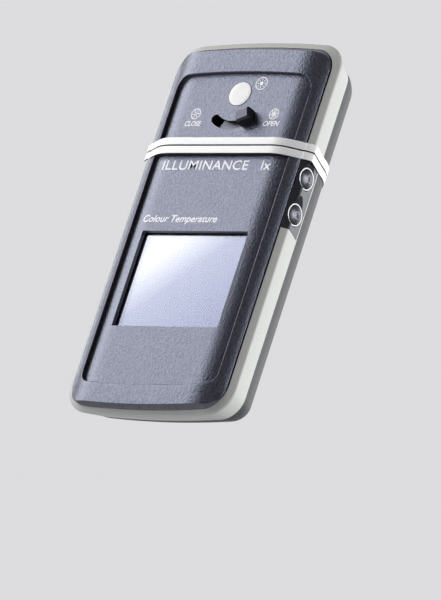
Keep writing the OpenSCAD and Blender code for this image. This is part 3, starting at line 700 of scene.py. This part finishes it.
cover_rings = [ring_at(3.1, *POCKET), ring_at(COVER_BASE, *POCKET),
               ring_at(COVER_BASE, *COVER_FOOT), cover_edge(), cover_between(0.35),
               cover_between(0.7), cover_between(1), panel_ring(0)]
cover_rings += [panel_ring(d) for d in (1.2, 2.4, 3.6, 4.8, 6.0, 7.4)]
cover_rings += [panel_ring(7.4 + 2.4 * i) for i in range(1, 8)]
cover_rings = soften(cover_rings, {3: 0.16, 6: 0.5, 7: 0.25}, steps=6)
front_cover, head_cover = halves("front_cover_shell", "head_cover_shell", cover_rings)
print("cover faces", len(front_cover.data.polygons), len(head_cover.data.polygons))

# %% [markdown]
# The openings are carved afterwards: the display's window below, and the diffuser's hole and the
# lever's curved slot above. A cutter carries a black finish to the faces that it leaves: painted
# shade on the walls of these openings, which lie in shadow.

# %% Carve the window, the diffuser hole and the slot
SLOT_R, SLOT_W = 11.6, 3.3
SLOT_SPAN = math.radians(37.5)
black = finishes["black_plastic"]


def slot_outline():
    down, r = -math.pi / 2, SLOT_W / 2
    right = (SLOT_R * math.sin(SLOT_SPAN), SENSOR_Z - SLOT_R * math.cos(SLOT_SPAN))
    outer = arc(0, SENSOR_Z, SLOT_R + r, down - SLOT_SPAN, down + SLOT_SPAN, 28)
    cap_right = arc(*right, r, down + SLOT_SPAN, down + SLOT_SPAN + math.pi, 10, False)
    inner = arc(0, SENSOR_Z, SLOT_R - r, down + SLOT_SPAN, down - SLOT_SPAN, 28)
    cap_left = arc(-right[0], right[1], r, down - SLOT_SPAN + math.pi,
                   down - SLOT_SPAN + 2 * math.pi, 10, False)
    return outer + cap_right + inner + cap_left


# The cutters leave black walls in the openings: painted shade.
window_cut = slab("window cut", rounded_box(-22.2, 22.2, 30.8, 65.7, 0.5), -1, 6)
carve(front_cover, window_cut, inner=black)
slot_cut = slab("slot cut", slot_outline(), -1, 6)
carve(head_cover, slot_cut, inner=black)
hole_cut = turned_part("hole cut", 0, 0, SENSOR_Z, [(4.55, -1), (4.55, 6)], count=64)
carve(head_cover, hole_cut, inner=black)
for piece, node in ((front_cover, "front_cover"), (head_cover, "head_cover")):
    smooth(piece, 32)
    names = [m.name if m else "none" for m in piece.data.materials]
    keep = [p.material_index for p in piece.data.polygons]
    painted_shade_indices = {i for i, name in enumerate(names) if name == black.name}
    piece.data.materials.clear()
    piece.data.materials.append(finishes["cover_plastic"])
    piece.data.materials.append(black)
    for face, index in zip(piece.data.polygons, keep):
        face.material_index = 1 if index in painted_shade_indices else 0
    ready(piece, node, "cover_plastic")
    print(piece.name, "black faces", sum(f.material_index for f in piece.data.polygons))

# %% [markdown]
# ## The side frame and the black seal
# The pale frame is a closed ring: a wide bevel towards the front, a side wall that leans in towards
# the back, and a hollow middle. Its rings therefore form a tube. A narrow groove inside its front
# edge takes the black seal, a thin dark line round the cover. Just in front of it a black strip runs
# along the covers' own lower edge: painted shadow, for the dark gap between the covers and the
# frame.

# %% Loft the frames, the seals and the black strips of painted shadow
FRAME_WALL = 4.6
INNER_EDGE = (3.8, 3.8, 4.1, 7.2)
frame_rings = soften(
    [ring_at(BACK_Y, 3, 3, 3, 7.75), ring_at(EDGE_Y, 0, 0, 0, 10),
     ring_at(FRAME_Y, 2.45, 2.2, 2.8, 8.4), ring_at(FRAME_Y + 0.6, 2.6, 2.35, 2.95, 8.3),
     inset_ring(FRAME_Y + 0.6, FRAME_WALL), inset_ring(BACK_Y, FRAME_WALL)],
    {1: 0.9, 2: 0.12}, steps=5)
side_frame, head_frame = halves("side_frame_shell", "head_frame_shell", frame_rings, tube=True)


def flat_ring(outer, y_front, y_back):
    """Rings for a flat band under the covers' edge."""
    return [ring_at(y_back, *outer), ring_at(y_front, *outer),
            ring_at(y_front, *INNER_EDGE), ring_at(y_back, *INNER_EDGE)]


front_seal, head_seal = halves(
    "front_seal_bead", "head_seal_bead",
    flat_ring((2.62, 2.37, 2.97, 8.3), FRAME_Y + 0.04, FRAME_Y + 0.48), tube=True)
# Thin black strips under the covers' edge: painted shadow for the gap between cover and frame.
front_shade_strip, head_shade_strip = halves(
    "front_cover_painted_shade", "head_cover_painted_shade",
    flat_ring((2.93, 1.73, 3.23, 8.0), FRAME_Y - 0.28, FRAME_Y - 0.02), tube=True)
place(front_shade_strip, "front_cover", "cover_plastic", black, replaces=False)
place(head_shade_strip, "head_cover", "cover_plastic", black, replaces=False)
print("frame faces", len(side_frame.data.polygons), len(head_frame.data.polygons))

# %% [markdown]
# ## The back
# The dark back is a shallow tray whose sides round over towards a flat middle. The
# curve is given by five spots, and a Catmull-Rom curve draws a smooth line through
# them. The inside is hollow, so its rings start at the inner floor.

# %% Loft the backs
BACK_RISE = 12.7
BACK_CURVE = [(0, 0), (0.3, 1.1), (0.62, 3.4), (0.88, 7.2), (1, 11.5)]


def through(spots, steps=4):
    ends = [spots[0]] + spots + [spots[-1]]
    line = []
    for a, b, c, d in zip(ends, ends[1:], ends[2:], ends[3:]):
        for i in range(steps):
            t = i / steps
            line.append(tuple(
                0.5 * (2 * q + (r - p) * t + (2 * p - 5 * q + 4 * r - s) * t * t
                       + (3 * q - p - 3 * r + s) * t ** 3)
                for p, q, r, s in zip(a, b, c, d)))
    return line + [spots[-1]]


back_rings = []
for share, inset in [(1, 11.5), (0.62, 3.4), (0, 0)]:
    back_rings.append(inset_ring(max(BACK_Y + BACK_RISE * share - 1.6, BACK_Y), 4.7 + inset))
for share, inset in through(BACK_CURVE):
    back_rings.append(inset_ring(BACK_Y + BACK_RISE * share, 3.1 + inset))
back_cover, head_back = halves("back_cover_shell", "head_back_shell", back_rings)
print("back faces", len(back_cover.data.polygons), len(head_back.data.polygons))

# %% [markdown]
# The back is carved for four cover screws below, four in the head, the tripod bush and,
# together with the frame, the charging socket in the left side.

# %% Carve the back and the side
POST_X = HALF_W - 13.4
low_posts = [(x, z) for x in (-POST_X, POST_X) for z in (13.4, LOWER_END - 6.2)]
head_posts = [(x, z) for x in (-POST_X, POST_X) for z in (HEAD_START + 6.2, TOTAL_H - 13.4)]
SCREW_SEAT = DEPTH - 6.8
for piece, posts in ((back_cover, low_posts), (head_back, head_posts)):
    for x, z in posts:
        hole = turned_part("screw hole", x, 0, z, [(2.05, SCREW_SEAT), (2.05, DEPTH - 0.35),
                                                   (2.5, DEPTH + 0.1)], count=32)
        carve(piece, hole)
bush_hole = turned_part("bush hole", 0, 0, SOCKET_Z,
                        [(5.2, DEPTH - 12), (5.2, DEPTH - 0.3), (5.6, DEPTH + 0.1)])
carve(back_cover, bush_hole)
for piece in (back_cover, side_frame):
    port = loft("port", [[(x, y, z) for z, y in rounded_box(61.35, 70.65, 10.15, 13.75, 1.2)]
                         for x in (-36, -19)])
    carve(piece, port)
print("screws at", [(round(x, 1), round(z, 1)) for x, z in low_posts + head_posts])

# %% [markdown]
# The carved shells get smooth shading below a small angle and take their places. The side
# frame waits until its notch for the keys is cut.

# %% Place the head's frame, the seals and the backs
for piece, node, slot in ((front_seal, "front_seal", "seal_rubber"),
                          (head_seal, "head_seal", "seal_rubber"),
                          (head_frame, "head_frame", "frame_plastic"),
                          (back_cover, "back_cover", "back_plastic"),
                          (head_back, "head_back", "back_plastic")):
    smooth(piece, 24)
    place(piece, node, slot)

# %% [markdown]
# ## The collars
# The white collars follow the whole cross-section of the housing and stand a little
# proud of it. Their outline is the front curve, the frame's bevel and side and the
# rounded back, drawn once round and pushed outwards. Each collar is that outline
# extruded by its height, with its rims rounded.

# %% Loft the collars
BAND_PROUD = 0.35


def grown(points, d):
    """Moves a closed outline outwards, with a mitre at each corner."""
    done = []
    for i, here in enumerate(points):
        before, after = points[i - 1], points[(i + 1) % len(points)]
        ways = []
        for p, q in ((before, here), (here, after)):
            run = Vector((q[0] - p[0], q[1] - p[1])).normalized()
            ways.append(Vector((run.y, -run.x)))
        push = (ways[0] + ways[1]) * d / (1 + ways[0].dot(ways[1]))
        done.append((here[0] + push.x, here[1] + push.y))
    return done


def section():
    steps = [FLAT_X * i / 3 for i in (1, 2, 3)]
    steps += [FLAT_X + (EDGE_X - FLAT_X) * i / 8 for i in range(1, 9)] + [COVER_X]
    half = [(x, front(x)) for x in steps]
    half += [(HALF_W - 2.45, FRAME_Y), (HALF_W - 0.35, EDGE_Y - 0.22),
             (HALF_W - 0.1, EDGE_Y + 0.28), (HALF_W - 3, BACK_Y)]
    half += [(HALF_W - 3.1 - inset, BACK_Y + BACK_RISE * share)
             for share, inset in through(BACK_CURVE)[2:]]
    return half + [(-x, y) for x, y in reversed(half)]


def collar(name, low, high):
    proud = [(x, min(y, DEPTH)) for x, y in grown(section(), BAND_PROUD)]
    core = [(x * 0.94, 14 + (y - 14) * 0.94) for x, y in proud]
    rings = [[(x, y, z) for x, y in ring]
             for ring, z in ((core, low), (proud, low), (proud, high), (core, high))]
    piece = loft(name, soften(rings, {1: 0.22, 2: 0.22}))
    smooth(piece, 32)
    piece.data.materials.append(finishes["collar_plastic"])
    # The flat end faces take the black rubber finish: painted shade, for the dark lines in the gaps
    # at the collars' rims.
    piece.data.materials.append(finishes["seal_rubber"])
    for face in piece.data.polygons:
        face.material_index = 1 if abs(face.normal.z) > 0.9 else 0
    return piece


lower_collar = collar("lower_collar_band", LOWER_END + 0.05, LOWER_TOP - 0.07)
upper_collar = collar("upper_collar_band", HEAD_BOTTOM + 0.07, HEAD_START - 0.05)
ready(lower_collar, "lower_collar", "collar_plastic")
ready(upper_collar, "upper_collar", "collar_plastic")
print("collar corners", len(section()))

# %% [markdown]
# ## The key block, its rings and the keys
# A glossy black block fills a notch in the frame's right side. It keeps the frame's
# own shape, bevel and all. Two round wells take the bright rings and the domed keys,
# and a slanting hollow above each key lets a thumb find it. Each well opens in a shallow
# flare, so that the ring shows all round. A plain cutter notches the frame and the seal.

# %% Notch the frame and loft the key block
KEY_R, KEY_GAP, RING_W = 3.15, 0.15, 0.75
KEY_X, KEY_Y = 33.05, FRAME_Y + 4.2
KEY_ZS = {"upper": LOWER_END - 5.1, "lower": LOWER_END - 5.1 - 13.1}
BLOCK_X, BLOCK_END, BLOCK_BACK = 29.4, KEY_ZS["lower"] - 6.6, BACK_Y - 0.6
RING_R = KEY_R + KEY_GAP + RING_W

notch = slab("notch", [(x, z) for x, z in ((45, 99), (BLOCK_X - 4, 99),
                                           (BLOCK_X - 4, BLOCK_END), (45, BLOCK_END))],
             FRAME_Y - 1, BLOCK_BACK)
seal_notch = copy_of(notch, "seal notch")
carve(side_frame, notch)
carve(front_seal, seal_notch)
smooth(side_frame, 24)
place(side_frame, "side_frame", "frame_plastic")

side_at_back = HALF_W - 3 * (BLOCK_BACK - EDGE_Y) / (BACK_Y - EDGE_Y)
block_outline = [(BLOCK_X, FRAME_Y + 0.02), (HALF_W - 2.5, FRAME_Y + 0.02),
                 (HALF_W - 0.35, EDGE_Y - 0.22), (HALF_W - 0.1, EDGE_Y + 0.28),
                 (side_at_back, BLOCK_BACK - 0.12), (BLOCK_X, BLOCK_BACK - 0.12)]
middle = (31.5, 8.5)
core = [(middle[0] + (x - middle[0]) * 0.8, middle[1] + (y - middle[1]) * 0.8)
        for x, y in block_outline]
key_block = loft("key_block_body", soften(
    [[(x, y, z) for x, y in ring]
     for ring, z in ((core, BLOCK_END + 0.08), (block_outline, BLOCK_END + 0.08),
                     (block_outline, LOWER_END - 0.05), (core, LOWER_END - 0.05))],
    {1: 0.3, 2: 0.2}))
WELL_R, FLARE_R, SHAFT_R = RING_R - 0.25, RING_R + 0.85, KEY_R + KEY_GAP
for z in KEY_ZS.values():
    for name, profile in (("well", [(WELL_R, -1.1), (WELL_R, 6)]),
                          ("shaft", [(SHAFT_R, -5), (SHAFT_R, 3)]),
                          ("flare", [(WELL_R, 0.12), (FLARE_R, 1.5), (FLARE_R, 6)])):
        carve(key_block, turned_part(name, KEY_X, KEY_Y, z, profile, "x", 64))
    tilt = math.radians(38)
    scoop = turned_part("scoop", 0, DEPTH, SOCKET_Z, [(RING_R * 0.92, -4.5), (RING_R * 0.92, 4.5)],
                        "z", 64)
    scoop.data.transform(Matrix.Translation(at(KEY_X + 3.2, KEY_Y, z + 2.9))
                         @ Matrix.Rotation(tilt, 4, "Y"))
    carve(key_block, scoop)
smooth(key_block, 26)
place(key_block, "key_block", "key_gloss")
print("key block faces", len(key_block.data.polygons))

# %% [markdown]
# The rings and the keys are turned parts. Each key's dome is a slice of a sphere with a
# rolled edge, drawn as circles that shrink towards the crown.

# %% Turn the rings and the keys
DOME = 0.9
DOME_R = (KEY_R ** 2 + DOME ** 2) / (2 * DOME)


def dome(radius):
    """Distance of a key's face from its rim plane, at a radius from its middle."""
    return math.sqrt(DOME_R ** 2 - radius ** 2) - (DOME_R - DOME)


rings_made = []
for z in KEY_ZS.values():
    low, high = RING_R - 0.27, KEY_R + KEY_GAP
    rings_made.append(turned_part(
        "ring", KEY_X, KEY_Y, z,
        [(low, -1.05), (low, 0.13), (low - 0.03, 0.2), (low - 0.08, 0.22), (high + 0.08, 0.22),
         (high + 0.03, 0.2), (high, 0.13), (high, -1.05)], "x", 72, tube=True))
key_rings = join(rings_made, "key_rings_pair")
place(key_rings, "key_rings", "ring_chrome")

key_profile = [(KEY_R + 0.7, -4.3), (KEY_R + 0.7, -3.85), (KEY_R - 0.02, -3.8), (KEY_R - 0.02, 0.08)]
key_profile += [(KEY_R - 0.10, 0.2 + dome(KEY_R - 0.10) * 0.9)]
key_profile += [(KEY_R * s, 0.2 + dome(KEY_R * s)) for s in (0.9, 0.78, 0.64, 0.48, 0.3, 0.1)]
keys = {}
for name, z in KEY_ZS.items():
    keys[name] = turned_part(f"key_{name}_cap", KEY_X, KEY_Y, z, key_profile, "x", 72)
    place(keys[name], f"key_{name}", "key_gloss")
print("key crown at", round(KEY_X + 0.2 + DOME, 2))

# %% [markdown]
# The marks on the keys are raised lines: an open triangle above, and a hook that turns
# back on itself below. Each is a flat strip that is laid on the dome and given a little
# height.

# %% Raise the marks on the keys
def strip(name, path, width, closed, lay, lift=0.05, sunk=0.05):
    """A raised line along a flat path, laid on a surface by the function lay."""
    count = len(path)
    sides = ([], [])
    for i, here in enumerate(path):
        before = path[i - 1] if closed or i else here
        after = path[(i + 1) % count] if closed or i < count - 1 else here
        run_in = Vector(here) - Vector(before)
        run_out = Vector(after) - Vector(here)
        run_in = run_in.normalized() if run_in.length else run_out.normalized()
        run_out = run_out.normalized() if run_out.length else run_in
        across = Vector((-(run_in + run_out).y, (run_in + run_out).x)).normalized()
        across *= width / 2 / max(across.dot(Vector((-run_in.y, run_in.x))), 0.4)
        sides[0].append(Vector(here) + across)
        sides[1].append(Vector(here) - across)
    corners = [(sides[0], -sunk), (sides[0], lift), (sides[1], lift), (sides[1], -sunk)]
    rings = []
    for i in range(count):
        rings.append([lay(side[i].x, side[i].y, high) for side, high in corners])
    return loft_path(name, rings, closed)


def loft_path(name, rings, closed):
    """A thin bar through small square rings, closed on itself if asked."""
    piece = loft(name, rings)
    if closed:
        pick(piece)
        bpy.ops.object.mode_set(mode="EDIT")
        mesh = bmesh.from_edit_mesh(piece.data)
        ends = [sorted(mesh.faces, key=lambda f: sum(
            min((v.co - at(*spot)).length for spot in ring) for v in f.verts))[0]
            for ring in (rings[0], rings[-1])]
        bridge_ends(piece, mesh, ends)
        face_outwards()
    return piece


def divided(points, steps, closed=True):
    """More spots along straight runs, so that a line can follow a curved face."""
    line = []
    last = len(points) if closed else len(points) - 1
    for i in range(last):
        a, b = Vector(points[i]), Vector(points[(i + 1) % len(points)])
        line += [tuple(a.lerp(b, t / steps)) for t in range(steps)]
    return line if closed else line + [points[-1]]


def on_key(z0):
    def lay(u, v, high):
        return (KEY_X + 0.2 + dome(math.hypot(u, v)) + high, KEY_Y + u, z0 + v)
    return lay


# The marks are a relief in the key's own black; their lighter grey is a painted highlight.
mark_highlight_finish = plastic("key mark", (0.20, 0.20, 0.22), 0.45, (0.4, 0.4, 0.42), grain=900,
                      bump=0.03, speckle=0.05)
triangle = strip("key_upper_mark", divided([(-1.5, -0.95), (1.5, -0.95), (0, 1.65)], 5), 0.36,
                 True, on_key(KEY_ZS["upper"]))
hook_path = [(0.9, -1.25), (-0.1, -1.25)] + arc(-0.1, -0.15, 1.1, -math.pi / 2,
                                               -1.5 * math.pi, 12, True)[1:] + [(1.0, 0.95)]
hook = strip("key_lower_mark", divided(hook_path, 2, False), 0.36, False,
             on_key(KEY_ZS["lower"]))
barb = strip("key_lower_barb", divided([(0.35, 1.65), (1.15, 0.95), (0.35, 0.25)], 3, False),
             0.34, False, on_key(KEY_ZS["lower"]))
hook = join([hook, barb], "key_lower_mark")
place(triangle, "key_upper", "key_gloss", mark_highlight_finish, replaces=False)
place(hook, "key_lower", "key_gloss", mark_highlight_finish, replaces=False)
print("marks", len(triangle.data.polygons), len(hook.data.polygons))

# %% [markdown]
# ## The window and the display
# The window is a clear plate with polished edges behind the opening. A black gasket
# frames it, and the display fills the space behind. The display is a plate with a thin
# dark border and a lit field that is inset from it.

# %% Make the window, the gasket and the display
WINDOW = (-23.4, 23.4, 29.6, 66.9)


def plate(name, x0, x1, z0, z1, y0, y1, r, edge):
    near = rounded_box(x0, x1, z0, z1, r)
    far = rounded_box(x0 + edge, x1 - edge, z0 + edge, z1 - edge, r)
    piece = loft(name, [[(x, y, z) for x, z in ring] for ring, y in (
        (far, y1), (near, y1 - edge), (near, y0 + edge), (far, y0))])
    smooth(piece, 20)
    return piece


window = plate("display_window_plate", *WINDOW, 3.12, 4.08, 0.5, 0.12)
place(window, "display_window", "window_glass")
gasket = plate("display_gasket_frame", *WINDOW, 4.12, 4.6, 0.5, 0.05)
carve(gasket, slab("gasket cut", rounded_box(-21.8, 21.8, 31.2, 65.3, 0.6), 0, 10))
place(gasket, "display_gasket", "seal_rubber")
panel = plate("display_module_panel", -23.8, 23.8, 27.4, 67.5, 4.62, 7.2, 0.6, 0.15)
place(panel, "display_module", "display_panel")
print("window", WINDOW)

# %% [markdown]
# ## The diffuser and the shutter
# The diffuser is a turned disc with a rolled rim and a very slight crown. The lever's plate below
# the slot is a plain sector in the model and keeps its shape. The knob is a block: rounded
# rectangles are piled up, its outer face is inset a little, its edges are rounded, and it is turned
# to follow the slot.

# %% Make the diffuser and the knob
diffuser = turned_part("diffuser_disc", 0, 0, SENSOR_Z,
                       [(5.15, 2.68), (5.15, 2.32), (4.4, 2.3), (4.4, 1.42), (4.33, 1.31),
                        (4.2, 1.27), (3.2, 1.25), (1.6, 1.25), (0.4, 1.25)], count=72)
place(diffuser, "diffuser", "opal_diffuser")

KNOB_W, KNOB_H = 5.4, 4.4
LEVER_REST = math.radians(36)
KNOB_TURN = LEVER_REST - math.radians(14)
knob_x = SLOT_R * math.sin(LEVER_REST)
knob_z = SENSOR_Z - SLOT_R * math.cos(LEVER_REST)


def knob_corners(grow, y):
    w, h = KNOB_W / 2 + grow, KNOB_H / 2 + grow
    ring = []
    for u, v in rounded_box(-w, w, -h, h, max(0.3 + grow, 0.12), 5):
        ring.append((knob_x + u * math.cos(KNOB_TURN) - v * math.sin(KNOB_TURN), y,
                     knob_z + u * math.sin(KNOB_TURN) + v * math.cos(KNOB_TURN)))
    return ring


knob = loft("shutter_knob_grip", soften(
    [knob_corners(0, 1.2), knob_corners(0, -1.9), knob_corners(-0.6, -2.5),
     knob_corners(-0.8, -2.5)], {1: 0.2, 2: 0.14}))
smooth(knob, 20)
place(knob, "shutter_knob", "black_plastic")
print("knob at", round(knob_x, 2), round(knob_z, 2))

# %% [markdown]
# ## The print on the front
# The words are printed in pale ink. Each is a text object that is converted to a mesh,
# scaled to its height and width, and laid on the sunk panel, whose sides curve away
# slightly. The symbols are thin raised lines: a shut and an open iris beside the two
# ends of the slot, and a lamp above the diffuser.

# %% Print the words
INK_LIFT = 0.03


def words(name, text, x0, x1, z0, height, slant=0.0, spacing=1.0, bold=0.0):
    deselect()
    bpy.ops.object.text_add()
    line = bpy.context.object
    line.name = name
    line.data.body = text
    line.data.size = 1
    line.data.extrude = 0.002
    line.data.offset = bold
    line.data.shear = slant
    line.data.space_character = spacing
    bpy.ops.object.convert(target="MESH")
    line = bpy.context.object
    line.data.name = name
    spots = [v.co for v in line.data.vertices]
    left, right = min(s.x for s in spots), max(s.x for s in spots)
    low, high = 0.0, max(s.y for s in spots)
    for vert in line.data.vertices:
        x = x0 + (vert.co.x - left) / (right - left) * (x1 - x0)
        z = z0 + (vert.co.y - low) / (high - low) * height
        y = front(x, RECESS) - (INK_LIFT if vert.co.z > 0 else -INK_LIFT)
        vert.co = at(x, y, z)
    pick(line)
    bpy.ops.object.mode_set(mode="EDIT")
    bpy.ops.mesh.select_all(action="SELECT")
    bpy.ops.mesh.remove_doubles(threshold=1e-7)
    face_outwards()
    return line


title = words("print_title", "ILLUMINANCE   lx", -22.8, 22.6, 88.3, 3.45, spacing=1.05, bold=0.006)
line_two = words("print_mode", "Colour Temperature", -23.6, 7.6, 69.0, 2.5, slant=0.22, bold=0.018)
word_close = words("print_close", "CLOSE", -19.3, -12.5, 104.6, 1.8, slant=0.25, bold=0.02)
word_open = words("print_open", "OPEN", 13.6, 20.3, 104.5, 1.8, slant=0.25, bold=0.02)
print("words", len(title.data.polygons))

# %% Draw the symbols
def on_panel(x0, z0):
    def lay(u, v, high):
        return (x0 + u, front(x0 + u, RECESS) - high, z0 + v)
    return lay


def ink_line(name, path, width, closed, x0, z0):
    return strip(name, path, width, closed, on_panel(x0, z0), INK_LIFT, INK_LIFT)


def round_line(name, x0, z0, r, width):
    return ink_line(name, arc(0, 0, r, 0, 2 * math.pi, 40)[:-1], width, True, x0, z0)


def iris(name, x0, z0, r, opening):
    """A ring with six blades whose inner ends leave the given opening."""
    parts = [round_line(name, x0, z0, r, 0.32)]
    for i in range(6):
        a = i * math.pi / 3
        start = (r * math.cos(a), r * math.sin(a))
        end = (opening * math.cos(a + 1.9), opening * math.sin(a + 1.9))
        parts.append(ink_line(name, divided([start, end], 3, False), 0.26, False, x0, z0))
    return parts


def spot_of_ink(name, x0, z0, r):
    rings = [[(x0 + u, front(x0 + u, RECESS) + high, z0 + v)
              for u, v in arc(0, 0, r, 0, 2 * math.pi, 24)[:-1]]
             for high in (INK_LIFT, -INK_LIFT)]
    return loft(name, rings)


close_mark = join(iris("print_shut_iris", -16.0, 109.05, 1.85, 0.35), "print_shut_iris")
open_mark = join(iris("print_open_iris", 16.9, 108.9, 1.85, 1.25)
                 + [spot_of_ink("print_open_iris", 16.9, 108.9, 0.85)], "print_open_iris")
LAMP = (7.5, 120.3)
lamp_parts = [round_line("print_lamp", *LAMP, 2.25, 0.3), spot_of_ink("print_lamp", *LAMP, 0.7)]
for i in range(8):
    a = i * math.pi / 4
    ray = [(1.1 * math.cos(a), 1.1 * math.sin(a)), (1.7 * math.cos(a), 1.7 * math.sin(a))]
    lamp_parts.append(ink_line("print_lamp", divided(ray, 2, False), 0.22, False, *LAMP))
lamp_mark = join(lamp_parts, "print_lamp")
for piece in (title, line_two):
    place(piece, "front_cover", "cover_plastic", ink, replaces=False)
for piece in (word_close, word_open, close_mark, open_mark, lamp_mark):
    place(piece, "head_cover", "cover_plastic", ink, replaces=False)
print("symbols", len(close_mark.data.polygons), len(lamp_mark.data.polygons))

# %% [markdown]
# ## Screws and the tripod bush
# One screw is turned, its cross recess is carved, and it is copied to the other seven
# places, each copy with its own mesh. The bush is a turned brass tube. Its thread is
# drawn as close grooves, with a countersunk mouth where the tripod's screw starts.

# %% Turn the screws and the bush
def screw_at(name, x, z):
    piece = turned_part(name, x, SCREW_SEAT, z,
                        [(0.5, -13.7), (0.85, -13.1), (0.85, -0.4), (1.0, -0.2), (1.0, 0.0),
                         (1.82, 0.0), (1.9, 0.1), (1.9, 0.75), (1.75, 1.1), (1.35, 1.32),
                         (0.4, 1.38)], count=40)
    for w, h in ((1.1, 0.24), (0.24, 1.1)):
        recess = loft("recess", [[(x + u * k, y, z + v * k) for u, v in
                                  ((w, h), (-w, h), (-w, -h), (w, -h))]
                                 for y, k in ((SCREW_SEAT + 0.55, 0.55), (SCREW_SEAT + 1.6, 1.1))])
        carve(piece, recess)
    smooth(piece, 30)
    return piece


first_screw = screw_at("screw", *low_posts[0])
sets = {"cover_screws": low_posts, "head_screws": head_posts}
for node, posts in sets.items():
    group = []
    for number, (x, z) in enumerate(posts):
        twin = copy_of(first_screw, f"{node}_{number}")
        shift = at(x, 0, z) - at(low_posts[0][0], 0, low_posts[0][1])
        twin.data.transform(Matrix.Translation(shift))
        group.append(twin)
    place(join(group, f"{node}_set"), node, "screw_steel")
bpy.data.objects.remove(first_screw)

PITCH, THREAD, BORE_R = 1.27, 0.38, 3.2
bush_profile = [(5.2, DEPTH - 9.3), (6.15, DEPTH - 9.3), (6.15, DEPTH - 8.05),
                (5.17, DEPTH - 8.0), (5.17, DEPTH - 0.12), (5.05, DEPTH), (3.75, DEPTH)]
y = DEPTH - 0.55
while y > DEPTH - 7.6:
    bush_profile += [(BORE_R, y), (BORE_R + THREAD, y - PITCH / 2)]
    y -= PITCH
bush_profile += [(BORE_R, y), (BORE_R, DEPTH - 8.0), (0.4, DEPTH - 8.1), (0.3, DEPTH - 9.3)]
bush = loft("tripod_bush_turned", lathe(0, 0, SOCKET_Z, bush_profile, "y", 64), tube=True)
smooth(bush, 24)
place(bush, "tripod_bush", "brass_insert")
print("thread grooves", int(7.0 / PITCH))

# %% [markdown]
# ## Everything that stays as modelled
# The parts inside keep the model's own shapes and only take their finishes: each node
# is given the finish of the slot that the record names for it.

# %% Finish the remaining nodes
NODE_SLOT = {
    "main_board": "circuit_board", "sensor_board": "circuit_board", "key_board": "circuit_board",
    "battery_pack": "battery_wrap", "usb_socket": "bright_steel", "key_switches": "bright_steel",
    "swivel_bush": "brass_insert", "swivel_spindle": "bright_steel",
    "friction_washer": "screw_steel", "spindle_clip": "screw_steel",
    "swivel_cable": "seal_rubber", "diffuser_seat": "black_plastic",
    "sensor_barrel": "black_plastic", "spectrometer": "black_plastic",
    "shutter_disc": "shutter_plate", "shutter_clip": "bright_steel",
}
for name, slot in NODE_SLOT.items():
    nodes[name].data.materials.clear()
    nodes[name].data.materials.append(finishes[slot])
print("nodes finished", len(NODE_SLOT))

# %% [markdown]
# ## The studio
# The meter hangs above a wide pale floor, in plain soft light. A large soft box stands in
# front, to the left and above, so that the front mirrors it in a broad soft sheen. A
# second one lights the right side from behind, and a faint third one the back. The air is
# pale ahead of the camera and dark behind it, so that the front stays dark.

# %% Floor, air and lights
FLOOR_Z = -0.94


def sheet(name, size, spot):
    deselect()
    bpy.ops.mesh.primitive_plane_add(size=size)
    made_sheet = bpy.context.object
    made_sheet.name = name
    made_sheet.data.transform(Matrix.Translation(spot))
    made_sheet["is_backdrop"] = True
    return made_sheet


pale = plastic("pale floor", (0.90, 0.90, 0.91), 0.7, (0.9, 0.9, 0.9), grain=8, bump=0.02,
               drift=0.02, speckle=0.01, wear=0.0)
floor = sheet("floor", 60, Vector((0, 0, FLOOR_Z)))
floor.data.materials.append(pale)

world = bpy.data.worlds.new("studio air")
bpy.context.scene.world = world
world.use_nodes = True
tree = world.node_tree
air = tree.nodes["Background"]
dial(air, {"Strength": 1.0})
way = add(tree, "ShaderNodeTexCoord")
facing = add(tree, "ShaderNodeVectorMath", {1: CAMERA_AHEAD}, operation="DOT_PRODUCT")
depth_ramp = ramp(tree, (0.25, (0.13, 0.13, 0.135)), (0.85, (0.72, 0.72, 0.74)))
wire(tree, (way, "Generated", facing, 0), (facing, "Value", depth_ramp, "Fac"),
     (depth_ramp, "Color", air, "Color"))


METER_MIDDLE = Vector((0, -0.012, 0.02))


def soft_box(name, way_to, distance, size, power, tall=None):
    """A soft box that stands off the meter's middle in a given direction and faces it."""
    data = bpy.data.lights.new(name, "AREA")
    data.shape = "RECTANGLE"
    data.size, data.size_y = size, tall or size
    data.energy = power
    box = bpy.data.objects.new(name, data)
    bpy.context.collection.objects.link(box)
    box.visible_camera = False
    way_to = Vector(way_to).normalized()
    box.matrix_world = (Matrix.Translation(METER_MIDDLE + way_to * distance)
                        @ way_to.to_track_quat("Z", "Y").to_matrix().to_4x4())


soft_box("key light", (-0.76, -0.55, 0.34), 1.0, 1.0, 14, 0.85)
soft_box("side light", (0.90, 0.34, 0.22), 0.9, 0.5, 9.0)
soft_box("back light", (0.12, 0.93, 0.36), 1.1, 0.8, 2.0, 0.6)
bpy.context.scene.view_settings.view_transform = "Standard"

# %% [markdown]
# ## The finished size
# The last line prints the box round all the finished pieces, in millimetres, and how many pieces
# were made.

# %% Print the sizes
low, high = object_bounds()
print("visual box", [round(v * 1000, 2) for v in (*low, *high)], "pieces", len(made))
